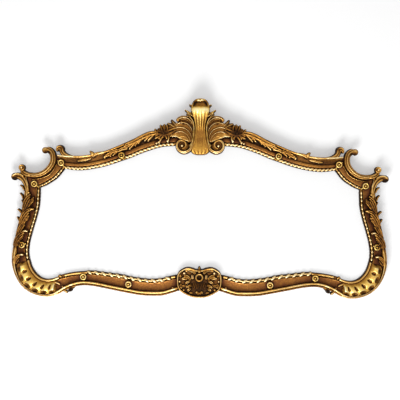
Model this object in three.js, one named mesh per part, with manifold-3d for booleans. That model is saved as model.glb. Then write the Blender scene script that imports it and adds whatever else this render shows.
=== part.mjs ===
// Overmantel mirror in a carved and gilded rococo frame.
//
// Lengths are millimetres. X runs to the right, Z runs up, and the front faces -Y. The wall is the
// plane Y = 0, which is also the back face of the backboards. Plan points are [x, z] on the left half,
// x from the centre line and z from the middle of the back; the right half is their mirror image.
// A height is measured towards the room from the back of the frame's rails.
import * as THREE from "three";
import Module from "manifold-3d";
import { mergeVertices } from "three/addons/utils/BufferGeometryUtils.js";

// ---- Driving sizes ---------------------------------------------------------------------------

// Overall
const FRAME_WIDTH = 1510; // over the scrolls of the stiles
const FRAME_HEIGHT = 799; // from the foot of the cartouche to the top of the shell

// Fits
const FIT_GAP = 0.3; // air between a piece and the piece that it is cut to
const JOINT_GAP = 0.4; // glue line between two rails

// Section of the moulding, from the sight edge outwards
const ROPE_SEAT_WIDTH = 15;
const ROPE_SEAT_HEIGHT = 24;
const GROUND_HEIGHT = 28; // plain band beside the rope
const HOLLOW_DEPTH = 3; // how far both hollows sink below the band
const HOLLOW_LIFT = 2; // how far the outer hollow rises again towards the bead
const RIDGE_RISE = 1.5; // small fillet between the two hollows
const BEAD_WIDTH = 13; // raised outer bead
const BEAD_HEIGHT = 42;
const BEAD_SHOULDER = 6; // from the bead's top down to its inner edge
const BEAD_FOOT = 4; // width of the slope from the hollow up to the bead
const EDGE_HEIGHT = 34; // where the bead meets the outer side

// Rope and plain bead along the sight edge
const ROPE_WIDTH = 10;
const ROPE_RISE = 9;
const ROPE_INSET = 8; // from the sight edge to the middle of the rope
const OWN_BEAD_SINK = 2; // a bead cut from the rail's own wood starts below the seat
const RIBBON_WIDTH = 11;
const RIBBON_RISE = 8;

// Rebate, mirror plate and back
const REBATE_WIDTH = 12;
const REBATE_DEPTH = 14;
const PLATE_THICKNESS = 5;
const PLATE_LAP = 8; // how far the plate reaches behind the sight edge
const PACKING_LAP = 7; // how far the packing reaches in over the plate
const BOARD_THICKNESS = 8;
const BOARD_LAP = 24; // how far the boards reach behind the frame
const BOARD_GAP = 1; // shrinkage gap between two boards
const BOARD_WIDTH = 470; // middle board

// Carving. A relief is a height above the plain band.
const CARVING_BACK = 16; // back of the carving where it overhangs the frame
const SHELL_FLUTE_DEPTH = 3.5;
const SHELL_FLUTES = 6;
const GADROON_COUNT = 8;
const GADROON_RELIEF = 12;
const GADROON_HALF_WIDTH = 8;
const GADROON_TIP_HALF_WIDTH = 6; // at the sight edge
const GADROON_BED_RELIEF = 4;
const GADROON_BED_HALF_WIDTH = 16;
const ROSETTE_RADIUS = 13;
const ROSETTE_RIM_WIDTH = 6;
const ROSETTE_RELIEF = 9;
const ROSETTE_EYE_RADIUS = 4;
const ROSETTE_FLOOR_RELIEF = 4; // floor of the dished ring
const ROSETTE_RIM_SLOPE = 1.5; // width of the slope on each side of the ring's top
const CARTOUCHE_RIM_WIDTH = 8;
const CARTOUCHE_RING_RADIUS = 13;
const CARTOUCHE_RING_WIRE = 4.5;
const CARTOUCHE_RING_CROWN = 4; // rise of the ring's middle above its edges

// Loose tongues in the six rail joints
const TONGUE_LENGTH = 34;
const TONGUE_WIDTH = 22;
const TONGUE_THICKNESS = 6;
const TONGUE_BACK = 8; // height of the tongue's back face
const TONGUE_PLACE = 0.6; // share of the way from the sight edge to the outer edge

// Strap hangers
const STRAP_PLACE = 0.7; // share of the way from the sight edge to the outer edge
const STRAP_WIDTH = 16;
const STRAP_THICKNESS = 1.5;
const STRAP_LENGTH = 60;
const RING_WIRE_RADIUS = 2;
const RING_CLEARANCE = 0.4;
const RING_WIDTH = 26; // between the middles of the wire's two sides
const RING_DROP = 24;
const RING_CORNER = 5;
const STRAP_SCREW_DROPS = [35, 51]; // below the ring's pivot

// Wood screws
const SCREW_RADIUS = 2;
const SCREW_HEAD_RADIUS = 4;
const SCREW_HEAD_HEIGHT = 2;
const SCREW_TIP = 4;
const COUNTERSINK_CLEARANCE = 1; // how far a hole for a head runs on behind the head
const STRAP_SCREW_LENGTH = 14;
const BOARD_SCREW_LENGTH = 20;
const BOARD_SCREW_INSET = 18; // from the sight edge
const BOARD_SCREW_SHARES = [0.72, 0.62]; // of the outer boards' screws along the top and bottom half rails

// ---- Plan of the frame -----------------------------------------------------------------------

// The plan points are those of a frame of this size. A frame of another size is lengthened or
// shortened in the plain runs of its rails and stiles, and its carved ends stay as they are.
const DRAWN_WIDTH = 1510;
const DRAWN_HEIGHT = 799;
const RAIL_RUN = [-440, -200]; // x, from the outer to the inner end of the run
const STILE_RUN = [-240, 40]; // z, from the lower to the upper end of the run

function fittedX(x) {
  const share = (RAIL_RUN[1] - x) / (RAIL_RUN[1] - RAIL_RUN[0]);
  return x - ((FRAME_WIDTH - DRAWN_WIDTH) / 2) * Math.min(1, Math.max(0, share));
}

function fittedZ(z) {
  const share = (z - STILE_RUN[0]) / (STILE_RUN[1] - STILE_RUN[0]);
  return z + (FRAME_HEIGHT - DRAWN_HEIGHT) * (Math.min(1, Math.max(0, share)) - 0.5);
}

// A point [x, z, ...], or lists of points at any depth, fitted to the frame's size.
function fitted(points) {
  if (Array.isArray(points[0])) return points.map(fitted);
  const [x, z, ...rest] = points;
  return [fittedX(x), fittedZ(z), ...rest];
}

function fittedStations(stations) {
  return stations.map(([sightX, sightZ, ...outer]) => [...fitted([sightX, sightZ]), ...fitted(outer)]);
}

// Each station is [sight x, sight z, outer x, outer z].
const TOP_STATIONS = fittedStations([
  [0, 216, 0, 284], [-60, 216, -62, 283], [-120, 214, -126, 280], [-160, 209, -172, 273],
  [-200, 197, -216, 262], [-241, 182, -256, 246], [-281, 165, -297, 227], [-321, 151, -338, 209],
  [-362, 137, -376, 194], [-402, 126, -411, 184], [-443, 118, -447, 176], [-483, 114, -484, 172],
  [-518, 116, -526, 173], [-542, 120, -574, 176],
]);
const SHOULDER_STATIONS = fittedStations([
  [-542, 120, -574, 176], [-552, 107, -600, 152], [-564, 92, -607, 133], [-578, 78, -619, 116],
  [-597, 65, -638, 105], [-617, 53, -664, 101], [-641, 43, -700, 100],
]);
const SIDE_STATIONS = fittedStations([
  [-641, 43, -700, 100], [-641, 18, -701, 40], [-642, -2, -705, 0], [-643, -22, -706, -24],
  [-648, -50, -714, -54], [-656, -81, -722, -88], [-665, -111, -729, -118], [-673, -140, -737, -148],
  [-681, -172, -743, -179], [-685, -202, -748, -206], [-685, -225, -751, -234], [-680, -250, -750, -266],
  [-668, -283, -738, -308], [-652, -304, -716, -345], [-633, -318, -684, -373], [-609, -324, -648, -388],
  [-588, -321, -610, -393], [-572, -315, -575, -387], [-554, -306, -545, -372],
]);
const BOTTOM_STATIONS = fittedStations([
  [0, -301, 0, -360], [-45, -301, -42, -360], [-88, -303, -80, -366], [-115, -308, -106, -374],
  [-150, -317, -145, -385], [-190, -321, -190, -387], [-232, -318, -235, -385], [-273, -312, -277, -378],
  [-315, -303, -319, -370], [-355, -298, -360, -362], [-395, -293, -399, -354], [-430, -289, -430, -349],
  [-463, -291, -458, -347], [-495, -294, -482, -349], [-526, -299, -511, -357], [-554, -306, -545, -372],
]);
const TOP_STEPS = 14; // lofted lengths in half of the top rail
const SHOULDER_STEPS = 8;
const SIDE_STEPS = 22;
const BOTTOM_STEPS = 14;

const FINE_STEPS = 200; // samples of a half rail where something is placed along it

// The strap hangers hang on the upper stiles.
const [STRAP_SIGHT_X, , STRAP_OUTER_X] = SIDE_STATIONS[1];
const STRAP_X = STRAP_SIGHT_X + STRAP_PLACE * (STRAP_OUTER_X - STRAP_SIGHT_X);
const RING_PIVOT_Z = fittedZ(38);

// ---- Solids ----------------------------------------------------------------------------------

const CUT_PAST = 1; // how far a cutting solid reaches past what it cuts

const wasm = await Module();
wasm.setup();

function toSolid(geometry) {
  const bare = new THREE.BufferGeometry();
  const source = geometry.index ? geometry.toNonIndexed() : geometry;
  bare.setAttribute("position", source.getAttribute("position"));
  const merged = mergeVertices(bare, 1e-4);
  const mesh = new wasm.Mesh({
    numProp: 3,
    vertProperties: merged.getAttribute("position").array,
    triVerts: new Uint32Array(merged.index.array),
  });
  return new wasm.Manifold(mesh);
}

function toGeometry(solid) {
  const mesh = solid.getMesh();
  const geometry = new THREE.BufferGeometry();
  geometry.setAttribute("position", new THREE.BufferAttribute(new Float32Array(mesh.vertProperties), 3));
  geometry.setIndex(new THREE.BufferAttribute(new Uint32Array(mesh.triVerts), 1));
  return geometry;
}

function union(solids) {
  return solids.reduce((whole, solid) => whole.add(solid));
}

function mirror(solid) {
  return solid.mirror([1, 0, 0]);
}

// The solid less its neighbours, without the crumbs that a cut can leave.
function cutBy(solid, neighbours) {
  const cut = neighbours.reduce((rest, neighbour) => rest.subtract(neighbour), solid);
  return cut.decompose().reduce((most, piece) => (piece.volume() > most.volume() ? piece : most));
}

// Plan point and height to a point in space.
function place(x, z, height) {
  return new THREE.Vector3(x, -(BOARD_THICKNESS + height), z);
}

function smoothPath(points) {
  return new THREE.CatmullRomCurve3(points, false, "centripetal");
}

// Skins a row of like rings and closes both ends; outline holds the ring's own shape in the flat.
function loft(rings, outline) {
  const count = outline.length;
  const index = [];
  for (let here = 0; here < (rings.length - 1) * count; here += count) {
    const next = here + count;
    for (let i = 0; i < count; i++) {
      const j = (i + 1) % count;
      index.push(here + i, here + j, next + j, here + i, next + j, next + i);
    }
  }
  const end = (rings.length - 1) * count;
  const cap = THREE.ShapeUtils.triangulateShape(outline.map(([a, b]) => new THREE.Vector2(a, b)), []);
  const turn = Math.sign(THREE.ShapeUtils.area(outline.map(([x, y]) => ({ x, y }))));
  for (const [a, b, c] of cap) {
    const corners = [a, b, c].map((i) => ({ x: outline[i][0], y: outline[i][1] }));
    const [p, q, r] = Math.sign(THREE.ShapeUtils.area(corners)) === turn ? [a, b, c] : [a, c, b];
    index.push(r, q, p, end + p, end + q, end + r);
  }
  const geometry = new THREE.BufferGeometry();
  const positions = rings.flat().flatMap((point) => [point.x, point.y, point.z]);
  geometry.setAttribute("position", new THREE.Float32BufferAttribute(positions, 3));
  geometry.setIndex(index);
  if (signedVolume(positions, index) < 0) geometry.setIndex(index.reverse());
  return toSolid(geometry);
}

function signedVolume(positions, index) {
  const corner = (i) => new THREE.Vector3().fromArray(positions, 3 * index[i]);
  let sum = 0;
  for (let i = 0; i < index.length; i += 3) {
    sum += corner(i).dot(corner(i + 1).cross(corner(i + 2)));
  }
  return sum / 6;
}

// A flat slab from a closed plan outline, between two heights.
function slab(outline, low, high) {
  return loft([low, high].map((height) => outline.map(([x, z]) => place(x, z, height))), outline);
}

function box(width, depth, height, centre) {
  const geometry = new THREE.BoxGeometry(width, depth, height);
  geometry.translate(centre.x, centre.y, centre.z);
  return toSolid(geometry);
}

// A turned solid; its profile is [radius, height] and its axis stands on the plan point.
function turned(profile, sides, x, z) {
  const geometry = new THREE.LatheGeometry(profile.map(([r, h]) => new THREE.Vector2(r, h)), sides);
  geometry.rotateX(Math.PI);
  const foot = place(x, z, 0);
  geometry.translate(foot.x, foot.y, foot.z);
  const index = Array.from(geometry.index.array);
  if (signedVolume(Array.from(geometry.getAttribute("position").array), index) < 0) {
    geometry.setIndex(index.reverse());
  }
  return toSolid(geometry);
}

// ---- Rails -----------------------------------------------------------------------------------

function throughCentre(half) {
  const otherHalf = half.slice(1).map(([sx, sz, ox, oz]) => [-sx, sz, -ox, oz]);
  return [...half.slice(1).reverse(), half[0], ...otherHalf];
}

// Pairs of [sight point, outer point] along a rail.
function sampleStations(stations, steps) {
  const sight = smoothPath(stations.map((s) => new THREE.Vector3(s[0], 0, s[1])));
  const outer = smoothPath(stations.map((s) => new THREE.Vector3(s[2], 0, s[3])));
  return Array.from({ length: steps + 1 }, (_, i) => [sight.getPoint(i / steps), outer.getPoint(i / steps)]);
}

// The point that lies a given distance out from the sight edge.
function inFrom([sight, outer], inset) {
  return outer.clone().sub(sight).setLength(inset).add(sight);
}

// Section of the moulding as [distance from the sight edge, height]; grow swells its front and sides.
function railProfile(width, grow) {
  const hollow = GROUND_HEIGHT - HOLLOW_DEPTH;
  const ridge = GROUND_HEIGHT + RIDGE_RISE;
  return [
    [-grow, REBATE_DEPTH],
    [-grow, ROPE_SEAT_HEIGHT + grow],
    [ROPE_SEAT_WIDTH - grow, ROPE_SEAT_HEIGHT + grow],
    [ROPE_SEAT_WIDTH, GROUND_HEIGHT + grow],
    [0.4 * width, hollow + grow],
    [0.51 * width, ridge + grow],
    [0.62 * width, hollow + grow],
    [width - BEAD_WIDTH - BEAD_FOOT, hollow + HOLLOW_LIFT + grow],
    [width - BEAD_WIDTH, BEAD_HEIGHT - BEAD_SHOULDER + grow],
    [width - 0.72 * BEAD_WIDTH, BEAD_HEIGHT + grow],
    [width - 0.3 * BEAD_WIDTH, BEAD_HEIGHT + grow],
    [width + grow, EDGE_HEIGHT + grow],
    [width + grow, 0],
    [REBATE_WIDTH, 0],
    [REBATE_WIDTH, REBATE_DEPTH],
  ];
}

function railSweep(stations, steps, grow = 0) {
  const pairs = sampleStations(stations, steps);
  const rings = pairs.map(([sight, outer], i) => {
    const across = outer.clone().sub(sight);
    const width = across.length();
    across.normalize();
    const ahead = i < steps ? pairs[i + 1][0].clone().sub(sight) : sight.clone().sub(pairs[i - 1][0]);
    const along = new THREE.Vector3(-across.z, 0, across.x);
    along.multiplyScalar(Math.sign(along.dot(ahead)));
    const inward = JOINT_GAP / 2 - grow;
    const shift = along.multiplyScalar(i === 0 ? inward : i === steps ? -inward : 0);
    return railProfile(width, grow).map(([inset, height]) =>
      place(sight.x + across.x * inset + shift.x, sight.z + across.z * inset + shift.z, height));
  });
  return loft(rings, railProfile(pairs[0][0].distanceTo(pairs[0][1]), grow));
}

// ---- Carved strokes --------------------------------------------------------------------------

// Sections of a stroke as [share of the half width, share of the height]
const ROUND = [[-1, 0], [-0.85, 0.7], [0, 1], [0.85, 0.7], [1, 0]];
const LEAF = [[-1, 0], [-0.55, 1], [0.55, 1], [1, 0]];

// A carved stroke. Its points are [x, z, half width, relief], and its section stands on the base.
function stroke(points, steps, options = {}) {
  const { grow = 0, base = CARVING_BACK, foot = GROUND_HEIGHT, section = ROUND } = options;
  const path = smoothPath(points.map((p) => new THREE.Vector3(p[0], 0, p[1])));
  const size = smoothPath(points.map((p, i) => new THREE.Vector3(p[2], p[3], 1e-3 * i)));
  const rings = Array.from({ length: steps + 1 }, (_, i) => {
    const centre = path.getPoint(i / steps);
    const tangent = path.getTangent(i / steps).normalize();
    const { x: halfWidth, y: relief } = size.getPoint(i / steps);
    const reach = halfWidth + grow;
    const onward = i === 0 ? -grow : i === steps ? grow : 0;
    return section.map(([c, h]) => place(
      centre.x + tangent.x * onward - tangent.z * c * reach,
      centre.z + tangent.z * onward + tangent.x * c * reach,
      base + h * (foot + relief + grow - base)));
  });
  return loft(rings, section);
}

function leaves(list, grow = 0) {
  return union(list.map((points) => stroke(points, points.length - 1, { grow, section: LEAF })));
}

function ball([x, z, radius, relief], grow = 0) {
  const geometry = new THREE.SphereGeometry(radius + grow, 8, 5);
  const centre = place(x, z, GROUND_HEIGHT + relief - radius);
  geometry.translate(centre.x, centre.y, centre.z);
  return toSolid(geometry);
}

// ---- Rails with their carved ends ------------------------------------------------------------

const TOP_CURL = fitted([
  [-530, 166, 7, 12], [-546, 172, 7, 13], [-553, 184, 8, 14], [-552, 199, 8, 15], [-560, 207, 7, 15],
  [-569, 202, 6, 14], [-569, 193, 5, 13],
]);
const SHOULDER_SCROLL = fitted([
  [-690, 96, 9, 14], [-660, 93, 10, 15], [-632, 100, 11, 15], [-608, 118, 12, 15], [-593, 142, 12, 15],
  [-590, 166, 12, 15], [-595, 186, 12, 16], [-608, 196, 11, 16], [-619, 194, 9, 15],
]);
const SHOULDER_NECK = fitted([[-690, 96, 9, 13], [-704, 106, 9, 13], [-710, 120, 8, 12]]);
const SHOULDER_BALL = fitted([-712, 124, 12, 16]);
const SIDE_SCROLL = fitted([
  [-687, 10, 5, 13], [-691, 42, 8, 14], [-699, 66, 9, 15], [-713, 84, 10, 15], [-731, 92, 10, 15],
  [-745, 88, 10, 15], [-748, 80, 7, 14],
]);
const BOTTOM_CURL = fitted([
  [-504, -350, 7, 12], [-514, -362, 7, 13], [-524, -373, 6, 13], [-533, -372, 5, 12],
]);

// Where the edging along the sight edge changes, as shares of the half rail that carries it.
const TOP_ROPE = [0.12, 0.985];
const SIDE_ROPE_END = 0.58;
const CORNER_BEAD = [0.6, 0.985];
const END_BEAD = [0.77, 0.985];
const RIBBON = [0.225, 0.755];
const CENTRE_BEAD = [0.15, 0.21];

// A rope or bead between two shares of a half rail, on its seat by the sight edge.
function edging(stations, [from, to], steps, width, rise, { grow = 0, base = ROPE_SEAT_HEIGHT } = {}) {
  const pairs = sampleStations(stations, FINE_STEPS);
  const points = Array.from({ length: steps + 1 }, (_, i) => {
    const pair = pairs[Math.round(FINE_STEPS * (from + ((to - from) * i) / steps))];
    const middle = inFrom(pair, ROPE_INSET);
    return [middle.x, middle.z, width / 2, rise];
  });
  return stroke(points, steps, { grow, base, foot: ROPE_SEAT_HEIGHT });
}

// A plain bead, cut from the rail's own wood.
function ownBead(stations, shares, steps, grow) {
  const base = ROPE_SEAT_HEIGHT - OWN_BEAD_SINK;
  return edging(stations, shares, steps, ROPE_WIDTH, ROPE_RISE, { grow, base });
}

function topRail(grow = 0) {
  const curl = stroke(TOP_CURL, 7, { grow });
  return union([railSweep(throughCentre(TOP_STATIONS), 2 * TOP_STEPS, grow), curl, mirror(curl)]);
}

function shoulder(grow = 0) {
  return union([
    railSweep(SHOULDER_STATIONS, SHOULDER_STEPS, grow),
    stroke(SHOULDER_SCROLL, 9, { grow }),
    stroke(SHOULDER_NECK, 3, { grow }),
    ball(SHOULDER_BALL, grow),
  ]);
}

function sideRail(grow = 0) {
  return union([
    railSweep(SIDE_STATIONS, SIDE_STEPS, grow),
    stroke(SIDE_SCROLL, 8, { grow }),
    ownBead(SIDE_STATIONS, CORNER_BEAD, 10, grow),
  ]);
}

function bottomRail(grow = 0) {
  const half = union([
    stroke(BOTTOM_CURL, 4, { grow }),
    ownBead(BOTTOM_STATIONS, END_BEAD, 4, grow),
    ownBead(BOTTOM_STATIONS, CENTRE_BEAD, 2, grow),
  ]);
  const rail = railSweep(throughCentre(BOTTOM_STATIONS), 2 * BOTTOM_STEPS, grow);
  return union([rail, half, mirror(half)]);
}

// ---- Loose tongues in the rail joints --------------------------------------------------------

function tongue([sightX, sightZ, outerX, outerZ], grow = 0) {
  const across = new THREE.Vector3(outerX - sightX, 0, outerZ - sightZ);
  const middle = across.clone().multiplyScalar(TONGUE_PLACE).add(new THREE.Vector3(sightX, 0, sightZ));
  const geometry = new THREE.BoxGeometry(
    TONGUE_WIDTH + 2 * grow, TONGUE_THICKNESS + 2 * grow, TONGUE_LENGTH + 2 * grow);
  geometry.rotateY(-Math.atan2(across.z, across.x));
  const centre = place(middle.x, middle.z, TONGUE_BACK + TONGUE_THICKNESS / 2);
  return toSolid(geometry.translate(centre.x, centre.y, centre.z));
}

const JOINTS = {
  top: SHOULDER_STATIONS[0],
  middle: SIDE_STATIONS[0],
  bottom: SIDE_STATIONS[SIDE_STATIONS.length - 1],
};

// ---- Applied carving -------------------------------------------------------------------------

// Shell at the top: each station is [x, z, half width, relief].
const SHELL_STATIONS = fitted([
  [0, 179, 16, 10], [0, 184, 31, 13], [0, 196, 38, 16], [0, 208, 34, 18], [0, 228, 24, 18],
  [0, 252, 20, 18], [0, 280, 22, 20], [0, 306, 26, 25], [0, 332, 30, 31], [0, 352, 35, 37],
  [0, 364, 36, 41], [0, 370, 34, 41], [0, 373, 31, 16], [0, 392, 20, 12],
]);
const SHELL_HOOD = fitted([
  [-31, 366, 5, 34], [-28, 383, 7, 40], [-15, 394, 8, 46], [0, 397, 8, 48], [15, 394, 8, 46],
  [28, 383, 7, 40], [31, 366, 5, 34],
]);

const SHELL_TIPS = fitted([
  [[-22, 334, 5, 30], [-42, 346, 4, 27], [-60, 358, 2.5, 22]],
  [[-26, 366, 5, 34], [-36, 374, 3.5, 33], [-44, 379, 2, 30]],
]);

function crestShell(grow = 0) {
  const samples = 2 * SHELL_FLUTES;
  const rings = SHELL_STATIONS.map(([, z, halfWidth, relief], k) => {
    const lift = k === 0 ? -grow : k === SHELL_STATIONS.length - 1 ? grow : 0;
    const front = Array.from({ length: samples + 1 }, (_, i) => {
      const c = (2 * i) / samples - 1;
      const groove = i % 2 ? SHELL_FLUTE_DEPTH : 0;
      return [c * (halfWidth + grow), GROUND_HEIGHT + relief * (1 - 0.4 * c * c) - groove + grow];
    });
    const back = [[halfWidth + grow, CARVING_BACK], [-halfWidth - grow, CARVING_BACK]];
    return [...front, ...back].map(([x, height]) => place(x, z + lift, height));
  });
  const outline = rings[6].map((point) => [point.x, -point.y]);
  const tips = leaves(SHELL_TIPS, grow);
  return union([loft(rings, outline), stroke(SHELL_HOOD, 10, { grow }), tips, mirror(tips)]);
}

// Every stroke's point is [x, z, half width, relief].
const VOLUTE = fitted([
  [-30, 262, 5, 20], [-29, 235, 6, 21], [-33, 210, 6, 22], [-46, 194, 6, 22], [-65, 189, 6, 22],
  [-83, 196, 6, 21], [-91, 211, 6, 20], [-86, 227, 5, 19], [-73, 234, 5, 18], [-60, 228, 5, 17],
  [-56, 217, 4, 16],
]);
const VOLUTE_EYE = fitted([-73, 212, 6, 18]);
const VOLUTE_BED_RADIUS = 21;
const VOLUTE_BED_RELIEF = 9;
const VOLUTE_BED_CHAMFER = [3, 2]; // inwards and down

function crestVolute(grow = 0) {
  const [x, z] = VOLUTE_EYE;
  return union([
    stroke(VOLUTE, 12, { grow }),
    disc(x, z, VOLUTE_BED_RADIUS, CARVING_BACK, GROUND_HEIGHT + VOLUTE_BED_RELIEF),
    ball(VOLUTE_EYE, grow),
  ]);
}

function disc(x, z, radius, low, high) {
  const [inwards, down] = VOLUTE_BED_CHAMFER;
  const profile = [[0, low], [radius, low], [radius, high - down], [radius - inwards, high], [0, high]];
  return turned(profile, 12, x, z);
}

const CREST_FRONDS = fitted([
  [[-25, 258, 5, 19], [-27, 290, 6, 22], [-40, 314, 7, 25], [-60, 327, 6, 26], [-80, 325, 6, 24],
    [-94, 317, 4, 20]],
  [[-28, 280, 5, 19], [-42, 301, 6, 22], [-66, 311, 6, 22], [-92, 301, 5, 19]],
  [[-30, 240, 5, 18], [-40, 268, 6, 20], [-60, 281, 6, 22], [-82, 285, 6, 22], [-106, 279, 5, 20]],
  [[-46, 236, 5, 17], [-58, 253, 5, 18], [-80, 262, 6, 20], [-100, 258, 5, 18]],
  [[-88, 290, 5, 19], [-104, 305, 5, 20], [-117, 322, 3, 18]],
]);
const CREST_LEAVES = fitted([
  [[-98, 282, 6, 20], [-120, 269, 7, 21], [-143, 262, 8, 22], [-175, 268, 6, 20], [-180, 284, 3, 18]],
  [[-143, 262, 6, 22], [-151, 283, 6, 21], [-156, 300, 3, 18]],
  [[-143, 262, 6, 22], [-134, 284, 6, 21], [-128, 300, 3, 18]],
  [[-143, 262, 6, 22], [-133, 249, 5, 19], [-127, 236, 4, 16]],
  [[-143, 262, 6, 22], [-158, 246, 5, 19], [-170, 230, 4, 16]],
]);
const CREST_SPRAY = fitted([
  [[-165, 266, 5, 20], [-200, 258, 6, 18], [-240, 240, 6, 17], [-278, 218, 5, 16], [-306, 196, 3, 13]],
  [[-196, 262, 5, 17], [-214, 250, 5, 15], [-226, 230, 3, 12]],
  [[-232, 246, 5, 17], [-250, 232, 5, 14], [-262, 214, 3, 11]],
  [[-268, 226, 5, 17], [-288, 216, 5, 17], [-306, 212, 3, 17]],
]);
const CREST_BED = fitted([
  [-20, 232], [-22, 300], [-50, 318], [-92, 310], [-118, 296], [-150, 284], [-172, 268], [-140, 252],
  [-96, 250], [-50, 232],
]);
const CREST_BED_RELIEF = 9;

function crestFoliage() {
  return union([
    slab(CREST_BED, CARVING_BACK, GROUND_HEIGHT + CREST_BED_RELIEF),
    leaves([...CREST_FRONDS, ...CREST_LEAVES, ...CREST_SPRAY]),
  ]);
}

const CARTOUCHE_EDGE = fitted([
  [0, -281], [-14, -281], [-28, -277], [-44, -274], [-58, -276], [-72, -283], [-83, -293], [-89, -308],
  [-90, -330], [-87, -350], [-78, -365], [-62, -376], [-43, -386], [-22, -392], [0, -394],
]);
const CARTOUCHE_RELIEF = 16;
const CARTOUCHE_RIM_RELIEF = 20;
const CARTOUCHE_RING_CENTRE = fitted([0, -311]);
const CARTOUCHE_LEAVES = fitted([
  [[-20, -326, 5, 20], [-42, -332, 6, 22], [-62, -342, 4, 19]],
  [[-22, -340, 5, 20], [-40, -352, 6, 21], [-54, -368, 4, 18]],
  [[-10, -350, 5, 19], [-16, -368, 5, 20], [-22, -380, 4, 18]],
  [[-24, -302, 5, 20], [-44, -306, 6, 22], [-68, -318, 4, 19]],
]);
const CARTOUCHE_BUD = fitted([[0, -296, 6, 20], [0, -284, 6, 21], [0, -270, 3, 18]]);

function bottomCartouche() {
  const [ringX, ringZ] = CARTOUCHE_RING_CENTRE;
  const inset = CARTOUCHE_RIM_WIDTH / 2;
  const rim = CARTOUCHE_EDGE.map(([x, z]) => {
    const out = new THREE.Vector2(x, z - ringZ).normalize();
    return [x - inset * out.x, z - inset * out.y, inset, CARTOUCHE_RIM_RELIEF];
  });
  const half = union([stroke(rim, 12), leaves(CARTOUCHE_LEAVES)]);
  const otherSide = CARTOUCHE_EDGE.slice(1, -1).reverse().map(([x, z]) => [-x, z]);
  const ring = turned([
    [CARTOUCHE_RING_RADIUS - CARTOUCHE_RING_WIRE, CARVING_BACK],
    [CARTOUCHE_RING_RADIUS + CARTOUCHE_RING_WIRE, CARVING_BACK],
    [CARTOUCHE_RING_RADIUS + CARTOUCHE_RING_WIRE, GROUND_HEIGHT + CARTOUCHE_RIM_RELIEF],
    [CARTOUCHE_RING_RADIUS, GROUND_HEIGHT + CARTOUCHE_RIM_RELIEF + CARTOUCHE_RING_CROWN],
    [CARTOUCHE_RING_RADIUS - CARTOUCHE_RING_WIRE, GROUND_HEIGHT + CARTOUCHE_RIM_RELIEF],
    [CARTOUCHE_RING_RADIUS - CARTOUCHE_RING_WIRE, CARVING_BACK],
  ], 12, ringX, ringZ);
  return union([
    slab([...CARTOUCHE_EDGE, ...otherSide], CARVING_BACK, GROUND_HEIGHT + CARTOUCHE_RELIEF),
    half, mirror(half), ring, leaves([CARTOUCHE_BUD]),
  ]);
}

const ACANTHUS_STEM = fitted([
  [-687, 6, 4, 12], [-692, -20, 6, 15], [-700, -60, 7, 17], [-710, -100, 7, 16], [-720, -140, 7, 15],
  [-729, -180, 6, 14], [-733, -215, 5, 13], [-733, -250, 4, 10],
]);
const ACANTHUS_LOBES = fitted([
  [[-692, -24, 6, 14], [-682, -10, 6, 13], [-667, 4, 4, 8]],
  [[-700, -62, 6, 15], [-688, -52, 6, 13], [-673, -42, 4, 8]],
  [[-707, -88, 6, 15], [-699, -78, 6, 13], [-688, -70, 4, 9]],
  [[-720, -142, 6, 15], [-710, -132, 6, 14], [-697, -131, 4, 9]],
  [[-726, -168, 5, 14], [-716, -158, 5, 13], [-705, -154, 4, 8]],
  [[-733, -240, 5, 13], [-726, -228, 6, 14], [-713, -226, 4, 9]],
  [[-697, -34, 5, 17], [-713, -44, 4, 17], [-728, -43, 2.5, 14]],
  [[-704, -68, 5, 17], [-718, -77, 4, 17], [-730, -74, 2.5, 14]],
]);

function stileAcanthus() {
  return leaves([ACANTHUS_STEM, ...ACANTHUS_LOBES]);
}

const GADROON_SHARES = [0.63, 0.94]; // along the side rail

function cornerGadroon() {
  const pairs = sampleStations(SIDE_STATIONS, FINE_STEPS);
  const [from, to] = GADROON_SHARES;
  const at = (share, fraction, halfWidth, relief) => {
    const [sight, outer] = pairs[Math.round(FINE_STEPS * share)];
    const point = sight.clone().lerp(outer, fraction);
    return [point.x, point.z, halfWidth, relief];
  };
  const bedSteps = 6;
  const bed = Array.from({ length: bedSteps + 1 }, (_, i) =>
    at(from + ((to - from) * i) / bedSteps, 0.5, GADROON_BED_HALF_WIDTH, GADROON_BED_RELIEF));
  const flutes = Array.from({ length: GADROON_COUNT }, (_, i) => {
    const share = from + ((to - from) * i) / (GADROON_COUNT - 1);
    return [
      at(share, 0.26, GADROON_TIP_HALF_WIDTH, GADROON_RELIEF / 2),
      at(share, 0.5, GADROON_HALF_WIDTH, GADROON_RELIEF),
      at(share, 0.76, GADROON_HALF_WIDTH, 0.8 * GADROON_RELIEF),
    ];
  });
  return stroke(bed, bedSteps, { section: LEAF }).add(leaves(flutes));
}

const ROSETTES = {
  rail_upper: fitted([-315, 175]),
  corner_upper: fitted([-557, 143]),
  shoulder: fitted([-664, 58]),
  stile: fitted([-712, -187]),
  rail_outer: fitted([-465, -313]),
  rail_inner: fitted([-284, -342]),
};

function rosette([x, z], grow = 0) {
  const top = GROUND_HEIGHT + ROSETTE_RELIEF;
  const inner = ROSETTE_RADIUS - ROSETTE_RIM_WIDTH;
  const floor = GROUND_HEIGHT + ROSETTE_FLOOR_RELIEF;
  return turned([
    [0, CARVING_BACK], [ROSETTE_RADIUS + grow, CARVING_BACK], [ROSETTE_RADIUS + grow, floor + grow],
    [ROSETTE_RADIUS - ROSETTE_RIM_SLOPE, top + grow], [inner + ROSETTE_RIM_SLOPE, top + grow],
    [inner, floor + grow],
    [ROSETTE_EYE_RADIUS, floor + grow], [0, top + grow],
  ], 10, x, z);
}

// ---- Mirror plate, packing and boards --------------------------------------------------------

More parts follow.
